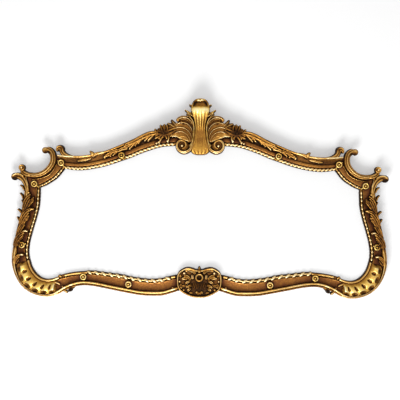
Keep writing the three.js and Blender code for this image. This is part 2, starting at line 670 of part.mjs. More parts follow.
// Closed plan outline, a given distance out from the sight edge.
function sightOutline(inset) {
  const lengths = [[TOP_STATIONS, TOP_STEPS], [SHOULDER_STATIONS, SHOULDER_STEPS],
    [SIDE_STATIONS, SIDE_STEPS], [[...BOTTOM_STATIONS].reverse(), BOTTOM_STEPS]];
  const half = lengths.flatMap(([stations, steps]) => {
    const everySecond = sampleStations(stations, steps).slice(0, -1).filter((_, i) => i % 2 === 0);
    return everySecond.map((pair) => inFrom(pair, inset));
  });
  const bottomCentre = inFrom(sampleStations(BOTTOM_STATIONS, BOTTOM_STEPS)[0], inset);
  const left = [...half, bottomCentre].map((point) => [point.x, point.z]);
  const right = left.slice(1, -1).reverse().map(([x, z]) => [-x, z]);
  return [...left, ...right];
}

const plate = slab(sightOutline(PLATE_LAP), REBATE_DEPTH - PLATE_THICKNESS, REBATE_DEPTH);
const packing = slab(sightOutline(PLATE_LAP), 0, REBATE_DEPTH - PLATE_THICKNESS)
  .subtract(slab(sightOutline(-PACKING_LAP), -CUT_PAST, REBATE_DEPTH));

const WIDER_THAN_ALL = 2 * (FRAME_WIDTH + FRAME_HEIGHT); // side of a cutting box past the whole frame

function board(centreX, width) {
  const whole = slab(sightOutline(BOARD_LAP), -BOARD_THICKNESS, 0);
  return whole.intersect(box(width, WIDER_THAN_ALL, WIDER_THAN_ALL, new THREE.Vector3(centreX, 0, 0)));
}

// ---- Screws and hangers ----------------------------------------------------------------------

// A wood screw whose head stands on the height "seat" and whose shank runs towards the room.
function screw(x, z, seat, length, grow = 0) {
  const headBack = seat - SCREW_HEAD_HEIGHT - (grow ? COUNTERSINK_CLEARANCE : 0);
  const tip = seat - SCREW_HEAD_HEIGHT + length + grow;
  return turned([
    [0, headBack], [SCREW_HEAD_RADIUS + grow, headBack], [SCREW_HEAD_RADIUS + grow, seat],
    [SCREW_RADIUS + grow, seat], [SCREW_RADIUS + grow, tip - SCREW_TIP], [0, tip],
  ], 8, x, z);
}

const STRAP_SCREWS = STRAP_SCREW_DROPS.map((drop) => [STRAP_X, RING_PIVOT_Z - drop]);
const strapScrew = ([x, z], grow) => screw(x, z, -STRAP_THICKNESS, STRAP_SCREW_LENGTH, grow);

function boardScrewPlace(stations, share) {
  const pair = sampleStations(stations, FINE_STEPS)[Math.round(FINE_STEPS * share)];
  const point = inFrom(pair, BOARD_SCREW_INSET);
  return [point.x, point.z];
}

const BOARD_SCREWS = {
  middle: [boardScrewPlace(TOP_STATIONS, 0), boardScrewPlace(BOTTOM_STATIONS, 0)],
  outer: [
    boardScrewPlace(TOP_STATIONS, BOARD_SCREW_SHARES[0]),
    boardScrewPlace(BOTTOM_STATIONS, BOARD_SCREW_SHARES[1]),
  ],
};
const boardScrew = ([x, z], grow) =>
  screw(x, z, SCREW_HEAD_HEIGHT - BOARD_THICKNESS, BOARD_SCREW_LENGTH, grow);

const KNUCKLE_BORE = RING_WIRE_RADIUS + RING_CLEARANCE;
const KNUCKLE_RADIUS = KNUCKLE_BORE + STRAP_THICKNESS;

function rodAlongX(radius, length) {
  const geometry = new THREE.CylinderGeometry(radius, radius, length, 12);
  const centre = place(STRAP_X, RING_PIVOT_Z, -KNUCKLE_RADIUS);
  return toSolid(geometry.rotateZ(Math.PI / 2).translate(centre.x, centre.y, centre.z));
}

function strap() {
  const middle = place(STRAP_X, RING_PIVOT_Z - STRAP_LENGTH / 2, -STRAP_THICKNESS / 2);
  return box(STRAP_WIDTH, STRAP_THICKNESS, STRAP_LENGTH, middle)
    .add(rodAlongX(KNUCKLE_RADIUS, STRAP_WIDTH))
    .subtract(rodAlongX(KNUCKLE_BORE, STRAP_WIDTH + 2 * CUT_PAST));
}

// D-shaped wire loop, hanging down from the knuckle.
function dRing() {
  const half = RING_WIDTH / 2;
  const path = new THREE.Path();
  path.moveTo(0, 0);
  path.lineTo(half - RING_CORNER, 0);
  path.absarc(half - RING_CORNER, -RING_CORNER, RING_CORNER, Math.PI / 2, 0, true);
  path.absarc(0, half - RING_DROP, half, 0, -Math.PI, true);
  path.absarc(RING_CORNER - half, -RING_CORNER, RING_CORNER, Math.PI, Math.PI / 2, true);
  const points = path.getPoints(3).filter((p, i, all) => i === 0 || p.distanceTo(all[i - 1]) > 1e-6);
  const sides = 6;
  const positions = [];
  const index = [];
  points.forEach((point, k) => {
    const before = points[(k + points.length - 1) % points.length];
    const after = points[(k + 1) % points.length];
    const normal = after.clone().sub(before).normalize().rotateAround(new THREE.Vector2(), Math.PI / 2);
    for (let s = 0; s < sides; s++) {
      const angle = (2 * Math.PI * s) / sides;
      const out = RING_WIRE_RADIUS * Math.cos(angle);
      const spot = place(STRAP_X + point.x + normal.x * out, RING_PIVOT_Z + point.y + normal.y * out,
        RING_WIRE_RADIUS * Math.sin(angle) - KNUCKLE_RADIUS);
      positions.push(spot.x, spot.y, spot.z);
      const next = ((k + 1) % points.length) * sides;
      const turn = (s + 1) % sides;
      index.push(k * sides + s, k * sides + turn, next + turn, k * sides + s, next + turn, next + s);
    }
  });
  const geometry = new THREE.BufferGeometry();
  geometry.setAttribute("position", new THREE.Float32BufferAttribute(positions, 3));
  geometry.setIndex(signedVolume(positions, index) < 0 ? index.reverse() : index);
  return toSolid(geometry);
}

// ---- Assembly --------------------------------------------------------------------------------

const overmantelMirror = new THREE.Group();

function finish(color, roughness, metalness) {
  return () => new THREE.MeshStandardMaterial({ color, roughness, metalness });
}

const gilding = finish(0xb8893a, 0.38, 0.85);
const brightGilding = finish(0xd8b050, 0.3, 0.9);
const beech = finish(0xa8865c, 0.8, 0);
const pine = finish(0x8a6a44, 0.85, 0);
const felt = finish(0x3c3a38, 0.95, 0);
const silvering = finish(0xf2f4f5, 0.05, 1);
const brass = finish(0xb08d4a, 0.4, 0.9);
const steel = finish(0x8c8a86, 0.45, 0.9);

function add(name, material, solid) {
  const mesh = new THREE.Mesh(toGeometry(solid), material());
  mesh.name = name;
  overmantelMirror.add(mesh);
}

function addPair(name, material, solid) {
  add(`${name}_left`, material, solid);
  add(`${name}_right`, material, mirror(solid));
}

// Rails, each cut for its tongues, its screws and the scroll of the rail beside it
const bothSides = (solids) => solids.flatMap((solid) => [solid, mirror(solid)]);
const mortise = Object.fromEntries(
  Object.entries(JOINTS).map(([name, station]) => [name, tongue(station, FIT_GAP)]));
const topHoles = [boardScrew(BOARD_SCREWS.outer[0], FIT_GAP), boardScrew(BOARD_SCREWS.middle[0], FIT_GAP)];
const bottomHoles = [boardScrew(BOARD_SCREWS.outer[1], FIT_GAP), boardScrew(BOARD_SCREWS.middle[1], FIT_GAP)];
const strapHoles = STRAP_SCREWS.map((spot) => strapScrew(spot, FIT_GAP));

add("top_rail", gilding, cutBy(topRail(), bothSides([mortise.top, ...topHoles])));
addPair("shoulder", gilding, cutBy(shoulder(), [topRail(FIT_GAP), mortise.top, mortise.middle]));
addPair("side_rail", gilding,
  cutBy(sideRail(), [shoulder(FIT_GAP), mortise.middle, mortise.bottom, ...strapHoles]));
add("bottom_rail", gilding, cutBy(bottomRail(), bothSides([mortise.bottom, ...bottomHoles])));
for (const [name, station] of Object.entries(JOINTS)) {
  addPair(`joint_tongue_${name}`, beech, tongue(station));
}

// Carving, each piece cut to the rails and to the carving that it meets
const railSeats = [topRail(FIT_GAP), shoulder(FIT_GAP), sideRail(FIT_GAP), bottomRail(FIT_GAP)];
const shellSeat = crestShell(FIT_GAP);
const voluteSeat = crestVolute(FIT_GAP);
const rosetteSeats = Object.values(ROSETTES).map((spot) => rosette(spot, FIT_GAP));

add("crest_shell", brightGilding, cutBy(crestShell(), railSeats));
addPair("crest_volute", gilding, cutBy(crestVolute(), [shellSeat, ...railSeats]));
addPair("crest_foliage", gilding,
  cutBy(crestFoliage(), [shellSeat, voluteSeat, ...rosetteSeats, ...railSeats]));
add("bottom_cartouche", gilding, cutBy(bottomCartouche(), railSeats));
addPair("stile_acanthus", gilding, cutBy(stileAcanthus(), [...rosetteSeats, ...railSeats]));
addPair("corner_gadroon", brightGilding, cutBy(cornerGadroon(), railSeats));
for (const [name, spot] of Object.entries(ROSETTES)) {
  addPair(`rosette_${name}`, brightGilding, cutBy(rosette(spot), railSeats));
}

// Rope and ribbon along the sight edge
const topRope = edging(TOP_STATIONS, TOP_ROPE, 14, ROPE_WIDTH, ROPE_RISE);
const sideRope = union([
  edging(SHOULDER_STATIONS, [0.02, 1], 8, ROPE_WIDTH, ROPE_RISE),
  edging(SIDE_STATIONS, [0, SIDE_ROPE_END], 10, ROPE_WIDTH, ROPE_RISE),
]);
const ribbon = edging(BOTTOM_STATIONS, RIBBON, 12, RIBBON_WIDTH, RIBBON_RISE);
addPair("top_rope", gilding, cutBy(topRope, [voluteSeat, ...rosetteSeats]));
addPair("side_rope", gilding, cutBy(sideRope, rosetteSeats));
addPair("ribbon", gilding, cutBy(ribbon, rosetteSeats));

// Mirror plate, packing and back
add("mirror_plate", silvering, plate);
add("plate_packing", felt, packing);
const outerX = BOARD_WIDTH / 2 + BOARD_GAP + WIDER_THAN_ALL / 2;
add("backboard_middle", pine,
  cutBy(board(0, BOARD_WIDTH), BOARD_SCREWS.middle.map((spot) => boardScrew(spot, FIT_GAP))));
addPair("backboard", pine,
  cutBy(board(-outerX, WIDER_THAN_ALL), BOARD_SCREWS.outer.map((spot) => boardScrew(spot, FIT_GAP))));
BOARD_SCREWS.middle.forEach((spot, i) => add(`board_screw_middle_${i + 1}`, steel, boardScrew(spot)));
BOARD_SCREWS.outer.forEach((spot, i) => addPair(`board_screw_${i + 1}`, steel, boardScrew(spot)));

// Hangers
addPair("hanger_strap", brass, cutBy(strap(), strapHoles));
addPair("hanger_ring", brass, dRing());
STRAP_SCREWS.forEach((spot, i) => addPair(`strap_screw_${i + 1}`, steel, strapScrew(spot)));

export default overmantelMirror;
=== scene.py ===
"""Overmantel mirror in a carved and gilded rococo frame: its carving, finishes and setting.

Sizes are millimetres unless a name says otherwise. A plan point is [x, z] as the mirror hangs, and a
height is measured towards the room from the back of the rails. What is drawn is the left half.
"""
import math

import bpy
import numpy as np
from mathutils import Matrix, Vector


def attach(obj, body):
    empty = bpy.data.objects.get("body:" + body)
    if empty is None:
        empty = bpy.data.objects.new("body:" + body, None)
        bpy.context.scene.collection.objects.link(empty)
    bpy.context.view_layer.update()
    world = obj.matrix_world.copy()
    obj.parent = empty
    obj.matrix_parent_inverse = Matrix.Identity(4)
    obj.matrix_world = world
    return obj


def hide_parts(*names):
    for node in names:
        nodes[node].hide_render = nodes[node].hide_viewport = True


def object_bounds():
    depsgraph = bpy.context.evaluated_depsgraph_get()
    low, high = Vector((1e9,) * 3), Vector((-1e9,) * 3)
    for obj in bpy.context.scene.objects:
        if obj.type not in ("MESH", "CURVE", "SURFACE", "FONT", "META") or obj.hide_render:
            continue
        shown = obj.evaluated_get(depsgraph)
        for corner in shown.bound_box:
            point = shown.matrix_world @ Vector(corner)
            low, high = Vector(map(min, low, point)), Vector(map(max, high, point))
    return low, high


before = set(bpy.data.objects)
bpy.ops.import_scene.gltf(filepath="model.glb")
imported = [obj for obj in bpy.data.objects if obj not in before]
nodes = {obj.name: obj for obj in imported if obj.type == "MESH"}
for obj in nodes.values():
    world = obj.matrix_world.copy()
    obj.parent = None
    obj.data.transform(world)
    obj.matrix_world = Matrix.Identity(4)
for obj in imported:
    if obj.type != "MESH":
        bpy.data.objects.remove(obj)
cad_low, cad_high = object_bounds()

# ---- Top rail --------------------------------------------------------------------------------
# The first of six lengths of pine moulding, glued end to end at loose tongues, with a small curl and a
# knot near each end. It is planed and carved, then coated with gesso and red bole, which soften its
# edges and leave its hollows slightly uneven, and water gilded.

MM = 0.001
BOARDS = 8.0  # thickness of the boards behind the rails
BAND = 28.0  # height of the plain band, from which every relief is measured
SEAT = 24.0  # height of the seat of the rope and bead
REBATE = (12.0, 14.0)  # width and depth
GLUE_LINE = 0.2  # half of the gap between two rails
BAND_START = 15.8  # from the sight edge
RING_SPACING = 2.4  # between two rows of a rail's skin
CARVED_STEP = 1.4  # between two points across the front of a rail
BACK_STEP = 8  # and across its back
TOOL_MARK = 0.22  # how far the carved surface strays from true
MOULDING_CREASE = 38  # degrees from which the edge of a moulding stays sharp
PER_SPAN = 12  # points of a curve between two given ones

# Each station is [sight x, sight z, outer x, outer z].
TOP_STATIONS = [
    [0, 216, 0, 284], [-60, 216, -62, 283], [-120, 214, -126, 280], [-160, 209, -172, 273],
    [-200, 197, -216, 262], [-241, 182, -256, 246], [-281, 165, -297, 227], [-321, 151, -338, 209],
    [-362, 137, -376, 194], [-402, 126, -411, 184], [-443, 118, -447, 176], [-483, 114, -484, 172],
    [-518, 116, -526, 173], [-542, 120, -574, 176],
]
TOP_QUIRK = 0.47  # share of the width from the sight edge to the groove beyond the band
TOP_BEAD = 9  # width of the outer bead

# Each point of a carved stroke is [x, z, half width, relief above the plain band].
TOP_CURL = [
    [-508, 167, 5, 11], [-530, 170, 9, 13], [-546, 178, 11, 14], [-554, 190, 11, 15], [-557, 202, 12, 16],
    [-567, 204, 10, 15], [-572, 195, 7, 14], [-571, 188, 5, 13],
]
TOP_KNOT = [[-388, 186, 4, 11], [-407, 182, 6.5, 14], [-422, 176, 8, 16], [-432, 166, 5, 13]]
TOP_KNOT_TIP = [[-422, 174, 7, 15], [-432, 181, 7, 16], [-438, 187, 5.5, 15], [-444, 189, 3.5, 13]]
TOP_KNOT_EYE = (-431, 180, 8, 18)

# Gold leaf over red clay, toned with brown lacquer: pale where it is rubbed and where highlights are painted,
# dark in the hollows, partly lacquer and partly painted shade.
GOLD = [
    (0.0, "FADFA6"), (0.16, "E6BC70"), (0.34, "BA853C"), (0.52, "8E5F27"), (0.7, "5E3913"),
    (0.86, "38200A"), (1.0, "1E1004"),
]
BOLE = "6E3A26"
BARE_WOOD = [(0.35, "97774B"), (0.65, "B4946A")]
CLOUDS, PATCHES, MARKS = (16, 3), (190, 4), (900, 2)  # repeats in a metre, and layers of detail
LEAF_EDGE = (-0.0105, -0.0092)  # metres in front of the wall where the gold ends and bare wood begins


def place(x, z, height):
    """Plan point and height to metres in the mirror's own frame."""
    x, z, height = np.broadcast_arrays(x, z, height)
    return np.stack([x * MM, -(BOARDS + height) * MM, z * MM], axis=-1)


def curve(points, per_span=PER_SPAN):
    """Points on a smooth line through the given ones, which may have any number of columns."""
    given = np.asarray(points, float)
    ends = [2 * given[0] - given[1]], [2 * given[-1] - given[-2]]
    given = np.vstack([ends[0], given, ends[1]])
    t = np.linspace(0, 1, per_span, endpoint=False)[:, None]
    line = []
    for a, b, c, d in zip(given, given[1:], given[2:], given[3:]):
        before, span, after = (max(math.dist(p, q), 1e-6) ** 0.5 for p, q in ((a, b), (b, c), (c, d)))
        leave = ((b - a) / before - (c - a) / (before + span) + (c - b) / span) * span
        arrive = ((c - b) / span - (d - b) / (span + after) + (d - c) / after) * span
        line.append(b + leave * t + (3 * (c - b) - 2 * leave - arrive) * t**2
                    + (2 * (b - c) + leave + arrive) * t**3)
    return np.vstack([*line, given[-2]])


def heading(line):
    """Unit vectors along a line in plan."""
    run = np.gradient(line[:, :2], axis=0)
    return run / np.linalg.norm(run, axis=1, keepdims=True)


def evenly(line, spacing):
    """The line at even distances in plan, and those distances."""
    length = np.concatenate([[0], np.cumsum(np.hypot(*np.diff(line[:, :2], axis=0).T))])
    at = np.linspace(0, length[-1], max(4, round(length[-1] / spacing) + 1))
    return np.column_stack([np.interp(at, length, column) for column in line.T]), at


def between(stations, start=0, end=1):
    """Rows of [sight x, sight z, outer x, outer z] between two shares of a rail's stations."""
    stations = np.asarray(stations, float)
    rows = np.hstack([curve(stations[:, :2]), curve(stations[:, 2:])])
    return rows[round(start * (len(rows) - 1)):round(end * (len(rows) - 1)) + 1]


def rail_line(stations):
    """Rows of [sight x, sight z, outer x, outer z] at even distances along a whole rail."""
    return evenly(between(stations), RING_SPACING)[0]


def both_halves(half):
    """Rows of a rail that crosses the centre line, from those of its left half."""
    return np.vstack([half[:0:-1], half * [-1, 1, -1, 1]])


def skin(rings):
    """A closed shell over a row of like rings: its points and its faces, pointing outwards."""
    count, around = rings.shape[:2]
    points = rings.reshape(-1, 3)
    first = np.arange(count - 1)[:, None] * around
    i = np.arange(around)[None, :]
    j = (i + 1) % around
    quads = np.stack([first + i, first + j, first + around + j, first + around + i], -1).reshape(-1, 4)
    caps = np.arange(around)[::-1], np.arange(around) + (count - 1) * around
    fans = [np.stack([np.repeat(cap[0], around - 2), cap[1:-1], cap[2:]], -1) for cap in caps]
    triangles = np.vstack([quads[:, :3], quads[:, [0, 2, 3]], *fans])
    a, b, c = (points[triangles[:, k]] for k in range(3))
    inside_out = np.einsum("ij,ij->", a, np.cross(b, c)) < 0
    faces = quads.tolist() + [cap.tolist() for cap in caps]
    return points, [face[::-1] for face in faces] if inside_out else faces


def bead(start, end, low, rise, count=9, bole=0):
    """A round bead across the moulding or, with a negative rise, a hollow."""
    t = np.linspace(-1, 1, count)
    return [[start + (end - start) * (u + 1) / 2, low + rise * math.sqrt(1 - u * u), bole] for u in t]


def moulding(width, front):
    """Corners [inset, height, red bole showing]: seat of the rope, carved front, outer side and back."""
    seat = [[0, REBATE[1], 0], [0, SEAT - 1.5, 0], [0.8, SEAT, 0], [14, SEAT, 0], [15.5, BAND - 0.6, 0]]
    back = [[width, 12, 0], [width - 2, 0, 0], [REBATE[0], 0, 0], [*REBATE, 0]]
    return [*seat, *front, *back]


def top_section(width):
    """Plain band, groove, rising cove and outer bead."""
    quirk, edge = TOP_QUIRK * width, width - TOP_BEAD
    cove = [[quirk + 3 + (edge - quirk - 3) * t, 24 + 12 * t**1.7, 0] for t in np.linspace(0, 1, 9)]
    return moulding(width, [
        *bead(BAND_START, quirk - 1, BAND - 0.4, 1.6, bole=1), [quirk, 23.5, 1], *cove,
        *bead(edge + 0.5, width, 37, 5), [width, 33, 0]])


def sweep(line, section):
    """Shell of a rail with square ends, half a glue line short of its joints."""
    line = line.copy()
    for end, inner in ((0, 1), (-1, -2)):
        run = line[inner] - line[end]
        line[end] += run / np.linalg.norm(run[:2]) * GLUE_LINE
    widths = np.linalg.norm(line[:, 2:] - line[:, :2], axis=1)
    corners = np.array([section(width) for width in widths])
    widest = corners[widths.argmax(), :, :2]
    steps = [CARVED_STEP if min(a[1], b[1]) > REBATE[1] else BACK_STEP for a, b in zip(widest, widest[1:])]
    parts = [max(1, round(math.dist(a, b) / step)) for a, b, step in zip(widest, widest[1:], steps)]
    at = np.concatenate([i + np.arange(n) / n for i, n in enumerate(parts)])
    i = at.astype(int)
    share = (at - i)[None, :, None]
    inset, height, bole = np.moveaxis(corners[:, i] * (1 - share) + corners[:, i + 1] * share, 2, 0)
    out = (line[:, 2:] - line[:, :2]) / widths[:, None]
    x = line[:, :1] + out[:, :1] * inset
    z = line[:, 1:2] + out[:, 1:] * inset
    stray = np.sin(x / 9.1 + z / 14.3) * np.sin(z / 7.7 - x / 17.9) + np.sin(x / 23 - z / 19 + 1)
    shell = skin(place(x, z, height + np.where(height > SEAT, TOOL_MARK * stray, 0)))
    return *shell, bole.ravel()


def put(name, data):
    """A new object in the scene."""
    piece = bpy.data.objects.new(name, data)
    bpy.context.scene.collection.objects.link(piece)
    return piece


def build(name, shells):
    """An object in the scene from closed shells, which may say where red bole shows."""
    faces, boles, first = [], [], 0
    for points, shell_faces, *bole in shells:
        faces += [[first + corner for corner in face] for face in shell_faces]
        boles.append(bole[0] if bole else np.zeros(len(points)))
        first += len(points)
    mesh = bpy.data.meshes.new(name)
    mesh.from_pydata(np.vstack([shell[0] for shell in shells]), [], faces)
    mesh.update()
    mesh.attributes.new("bole", "FLOAT", "POINT").data.foreach_set("value", np.concatenate(boles))
    return put(name, mesh)


def applied(piece):
    """The piece with its modifiers worked into its mesh."""
    graph = bpy.context.evaluated_depsgraph_get()
    rough = piece.data
    mesh = bpy.data.meshes.new_from_object(piece.evaluated_get(graph), depsgraph=graph)
    piece.modifiers.clear()
    piece.data = mesh
    bpy.data.meshes.remove(rough)
    mesh.name = piece.name
    return piece


def fused(name, shells, voxel=1.3, softening=2):
    """One closed skin over shells that run into each other, its edges softened as by gesso."""
    piece = build(name, shells)
    remesh = piece.modifiers.new("fuse", "REMESH")
    remesh.mode = "VOXEL"
    remesh.voxel_size = voxel * MM
    gesso = piece.modifiers.new("gesso", "SMOOTH")
    gesso.factor = 0.5
    gesso.iterations = softening
    return applied(piece)


def shell_of(piece):
    """Takes a finished piece back to a shell, and removes the piece."""
    mesh = piece.data
    points = np.empty(len(mesh.vertices) * 3)
    mesh.vertices.foreach_get("co", points)
    faces = [list(face.vertices) for face in mesh.polygons]
    bpy.data.objects.remove(piece)
    bpy.data.meshes.remove(mesh)
    return points.reshape(-1, 3), faces


def flipped(shell):
    """The same shell on the other side of the centre line."""
    points, faces, *bole = shell
    return points * [-1, 1, 1], [face[::-1] for face in faces], *bole


def round_bar(c, s, half):
    """Plain half-round stroke; c runs from -1 to 1 across it and s is the way along it."""
    return np.sqrt(np.clip(1 - np.abs(c) ** 2.2, 0, 1)) + 0 * s


def reeded(reeds, depth=0.25):
    """A stroke that is cut into parallel reeds along its length."""
    def section(c, s, half):
        reed = np.abs(np.sin(math.pi * reeds * (c + 1) / 2)) ** 0.7
        return round_bar(c, s, half) * (1 - depth + depth * reed)
    return section


def leaf(lobe, depth=0.16):
    """A leaf with a cut midrib and slanting veins, a lobe of the given length for each vein."""
    def section(c, s, half):
        vein = np.abs(np.sin(math.pi * (s - 1.1 * half * np.abs(c)) / lobe)) ** 0.6
        midrib = np.exp(-((c / 0.16) ** 2))
        return round_bar(c, s, half) * (1 - depth + depth * vein) * (1 - 0.24 * midrib)
    section.lobe = lobe
    return section


FULLER = 1.1  # what softening takes off each side of a stroke
ACROSS = np.sin(np.linspace(-math.pi / 2, math.pi / 2, 17))  # closer together at the stroke's edges
CARVING_BACK = 16.0  # height of the back of what is carved apart


def stroke(points, section=round_bar, base=CARVING_BACK, spacing=1.2, blunt=0.9, foot=BAND):
    """Shell of a carved stroke with rounded ends. Each point is [x, z, half width, relief]."""
    line, s = evenly(curve(points), spacing)
    x, z, half, relief = line.T
    run = heading(line)
    end = np.clip(np.minimum(s, s[-1] - s) / (blunt * half), 0, 1)
    rounding = np.sqrt(np.clip(1 - (1 - end) ** 2, 0.02, 1))
    half = (half + FULLER) * rounding
    if hasattr(section, "lobe"):
        half = half * (0.8 + 0.2 * np.abs(np.sin(math.pi * (s / section.lobe - 0.5))) ** 0.7)
    c = ACROSS[None, :]
    rise = section(c, s[:, None], half[:, None]) * (foot + relief - base)[:, None]
    rise = rise * (0.5 + 0.5 * rounding[:, None])
    offset = c * half[:, None]
    top = place(x[:, None] - run[:, 1:] * offset, z[:, None] + run[:, :1] * offset, base + 1 + rise)
    ends = offset[:, [-1, 0]]
    under = place(x[:, None] - run[:, 1:] * ends, z[:, None] + run[:, :1] * ends, base)
    return skin(np.concatenate([top, under], axis=1))


def turned(x, z, profile, around=24):
    """Shell of a turned knob or ring; its profile is [radius, height] from the front to the back."""
    radius, height = np.array(profile, float).T[:, :, None]
    turn = np.linspace(0, 2 * math.pi, around, endpoint=False)[None, :]
    return skin(place(x + radius * np.cos(turn), z + radius * np.sin(turn), height))


def knob(x, z, radius, relief, foot=BAND):
    """Shell of a round knob whose top stands at the given relief."""
    turn = np.linspace(0.05, math.pi - 0.05, 13)
    return turned(x, z, np.stack([radius * np.sin(turn), foot + relief - radius * (1 - np.cos(turn))], 1))


def add(tree, kind, links=(), **settings):
    """A node with its settings, and the sockets or values that feed its inputs."""
    node = tree.nodes.new(kind)
    for name, value in settings.items():
        setattr(node, name, value)
    for socket, source in dict(links).items():
        if isinstance(source, bpy.types.NodeSocket):
            tree.links.new(source, node.inputs[socket])
        else:
            node.inputs[socket].default_value = source
    return node


def colour(hex_value):
    """An sRGB hex colour as linear RGBA."""
    parts = [int(hex_value[i:i + 2], 16) / 255 for i in (0, 2, 4)]
    return (*(c / 12.92 if c <= 0.04045 else ((c + 0.055) / 1.055) ** 2.4 for c in parts), 1)


def finish(name, **sockets):
    """A new material: its tree, its shader and Object coordinates in metres."""
    material = bpy.data.materials.new(name)
    material.use_nodes = True
    tree = material.node_tree
    shader = tree.nodes["Principled BSDF"]
    for socket, value in sockets.items():
        shader.inputs[socket.replace("_", " ")].default_value = value
    return material, tree, shader, add(tree, "ShaderNodeTexCoord").outputs["Object"]


def ramp(tree, factor, stops):
    """A colour ramp from (place, hex colour) stops."""
    node = add(tree, "ShaderNodeValToRGB", {"Fac": factor})
    elements = node.color_ramp.elements
    while len(elements) < len(stops):
        elements.new(0.5)
    for element, (place_on, hex_value) in zip(elements, stops):
        element.position, element.color = place_on, colour(hex_value)
    return node.outputs["Color"]


def gilding(name, stops):
    """Toned water gilding. Clouds of 60 mm, patches of 5 mm and brush marks of 1 mm vary the lacquer.
    The darkening it reads from each piece is partly painted shade, and the paling partly painted highlight.
    """
    material, tree, shader, place_on = finish(name, Specular_IOR_Level=0.08)
    clouds, patches, marks = (
        add(tree, "ShaderNodeTexNoise", {"Vector": place_on, "Scale": scale, "Detail": detail}).outputs["Fac"]
        for scale, detail in (CLOUDS, PATCHES, MARKS))
    toning, burnish, bole = (
        add(tree, "ShaderNodeAttribute", attribute_name=given).outputs["Fac"]
        for given in ("toning", "burnish", "bole"))
    stray = add(tree, "ShaderNodeMath", {0: clouds, 1: patches}, operation="ADD").outputs[0]
    stray = add(tree, "ShaderNodeMath", {0: stray, 1: 0.3, 2: -0.3}, operation="MULTIPLY_ADD").outputs[0]
    tone = add(tree, "ShaderNodeMath", {0: toning, 1: stray}, operation="ADD").outputs[0]
    tone = add(tree, "ShaderNodeMath", {0: burnish, 1: -0.45, 2: tone}, operation="MULTIPLY_ADD",
               use_clamp=True).outputs[0]
    gold = ramp(tree, tone, stops)
    shown = add(tree, "ShaderNodeMapRange", {0: patches, 1: 0.35, 2: 0.65, 3: 0.3, 4: 0.8}).outputs[0]
    shown = add(tree, "ShaderNodeMath", {0: bole, 1: shown}, operation="MULTIPLY").outputs[0]
    red = add(tree, "ShaderNodeMix", {0: 0.62, 6: gold, 7: colour(BOLE)}, data_type="RGBA").outputs[2]
    front = add(tree, "ShaderNodeMix", {0: shown, 6: gold, 7: red}, data_type="RGBA").outputs[2]
    wood = ramp(tree, patches, BARE_WOOD)
    depth = add(tree, "ShaderNodeSeparateXYZ", {0: place_on}).outputs["Y"]
    bare = add(tree, "ShaderNodeMapRange", {0: depth, 1: LEAF_EDGE[0], 2: LEAF_EDGE[1]}).outputs[0]
    colouring = add(tree, "ShaderNodeMix", {0: bare, 6: front, 7: wood}, data_type="RGBA").outputs[2]
    tree.links.new(colouring, shader.inputs["Base Color"])
    shine = add(tree, "ShaderNodeMapRange", {0: tone, 1: 0.3, 2: 0.8, 3: 0.92, 4: 0.15}).outputs[0]
    metal = add(tree, "ShaderNodeMath", {0: bare, 1: -1, 2: 1}, operation="MULTIPLY_ADD").outputs[0]
    metal = add(tree, "ShaderNodeMath", {0: metal, 1: shine}, operation="MULTIPLY").outputs[0]
    tree.links.new(metal, shader.inputs["Metallic"])
    rough = add(tree, "ShaderNodeMapRange", {0: tone, 1: 0.1, 2: 0.9, 3: 0.3, 4: 0.62}).outputs[0]
    tree.links.new(rough, shader.inputs["Roughness"])
    bumps = add(tree, "ShaderNodeMath", {0: patches, 1: marks}, operation="ADD").outputs[0]
    bump = add(tree, "ShaderNodeBump", {"Height": bumps, "Strength": 0.35, "Distance": 0.0006})
    tree.links.new(bump.outputs[0], shader.inputs["Normal"])
    return material


def fit(piece, node, body="frame"):
    """Fixes a piece to its body in the place of the plain solid that carries the same name."""
    piece.data.shade_smooth()
    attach(piece, body)
    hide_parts(node)
    return piece


carved = []  # every gilded piece, for the lacquer that comes last
gold_leaf = {"gilding": gilding("toned water gilding on red bole", GOLD)}


def gild(piece, node, slot="gilding", crease=None):
    """Gilds a piece and fixes it, with its edges left sharp from a given angle on."""
    fit(piece, node)
    piece.data.materials.clear()
    piece.data.materials.append(gold_leaf[slot])
    if crease:
        piece.data.set_sharp_from_angle(angle=math.radians(crease))
    carved.append(piece)


curls = shell_of(fused("curls", [
    stroke(TOP_CURL, reeded(2)), stroke(TOP_KNOT, reeded(2)), stroke(TOP_KNOT_TIP, leaf(6)),
    knob(*TOP_KNOT_EYE)]))
top_rail = build("top_rail_gilt", [
    sweep(both_halves(rail_line(TOP_STATIONS)), top_section), curls, flipped(curls)])
gild(top_rail, "top_rail", crease=MOULDING_CREASE)

# ---- Shoulders -------------------------------------------------------------------------------
# The two short concave lengths of moulding at the upper corners. Each carries a large C scroll, with a
# neck and a turned ball towards the stile.

SHOULDER_STATIONS = [
    [-542, 120, -574, 176], [-552, 107, -600, 152], [-564, 92, -607, 133], [-578, 78, -619, 116],
    [-597, 65, -638, 105], [-617, 53, -664, 101], [-641, 43, -700, 100],
]
SHOULDER_RIDGE = 0.56  # share of the width from the sight edge to the fillet between the hollows
SHOULDER_SCROLL = [
    [-692, 96, 9, 14], [-660, 93, 10, 15], [-632, 100, 11, 15], [-608, 118, 12, 15], [-592, 142, 13, 15],
    [-589, 166, 13, 15], [-594, 184, 13, 16], [-606, 194, 13, 16], [-620, 194, 12, 15],
]
SHOULDER_EYE = (-620, 193, 13.5, 18)
SHOULDER_NECK = [[-676, 92, 9, 13], [-697, 97, 11, 14], [-710, 106, 11, 13], [-712, 118, 10, 12]]
SHOULDER_BALL = (-713, 123)
BALL_PROFILE = [  # [radius, height]
    [0.3, 46], [3, 45.5], [5, 43], [6.5, 39], [8, 42], [10, 43], [12, 41], [13.4, 36], [13.6, 30],
    [13.6, CARVING_BACK],
]
SIDES = ("left", "right")


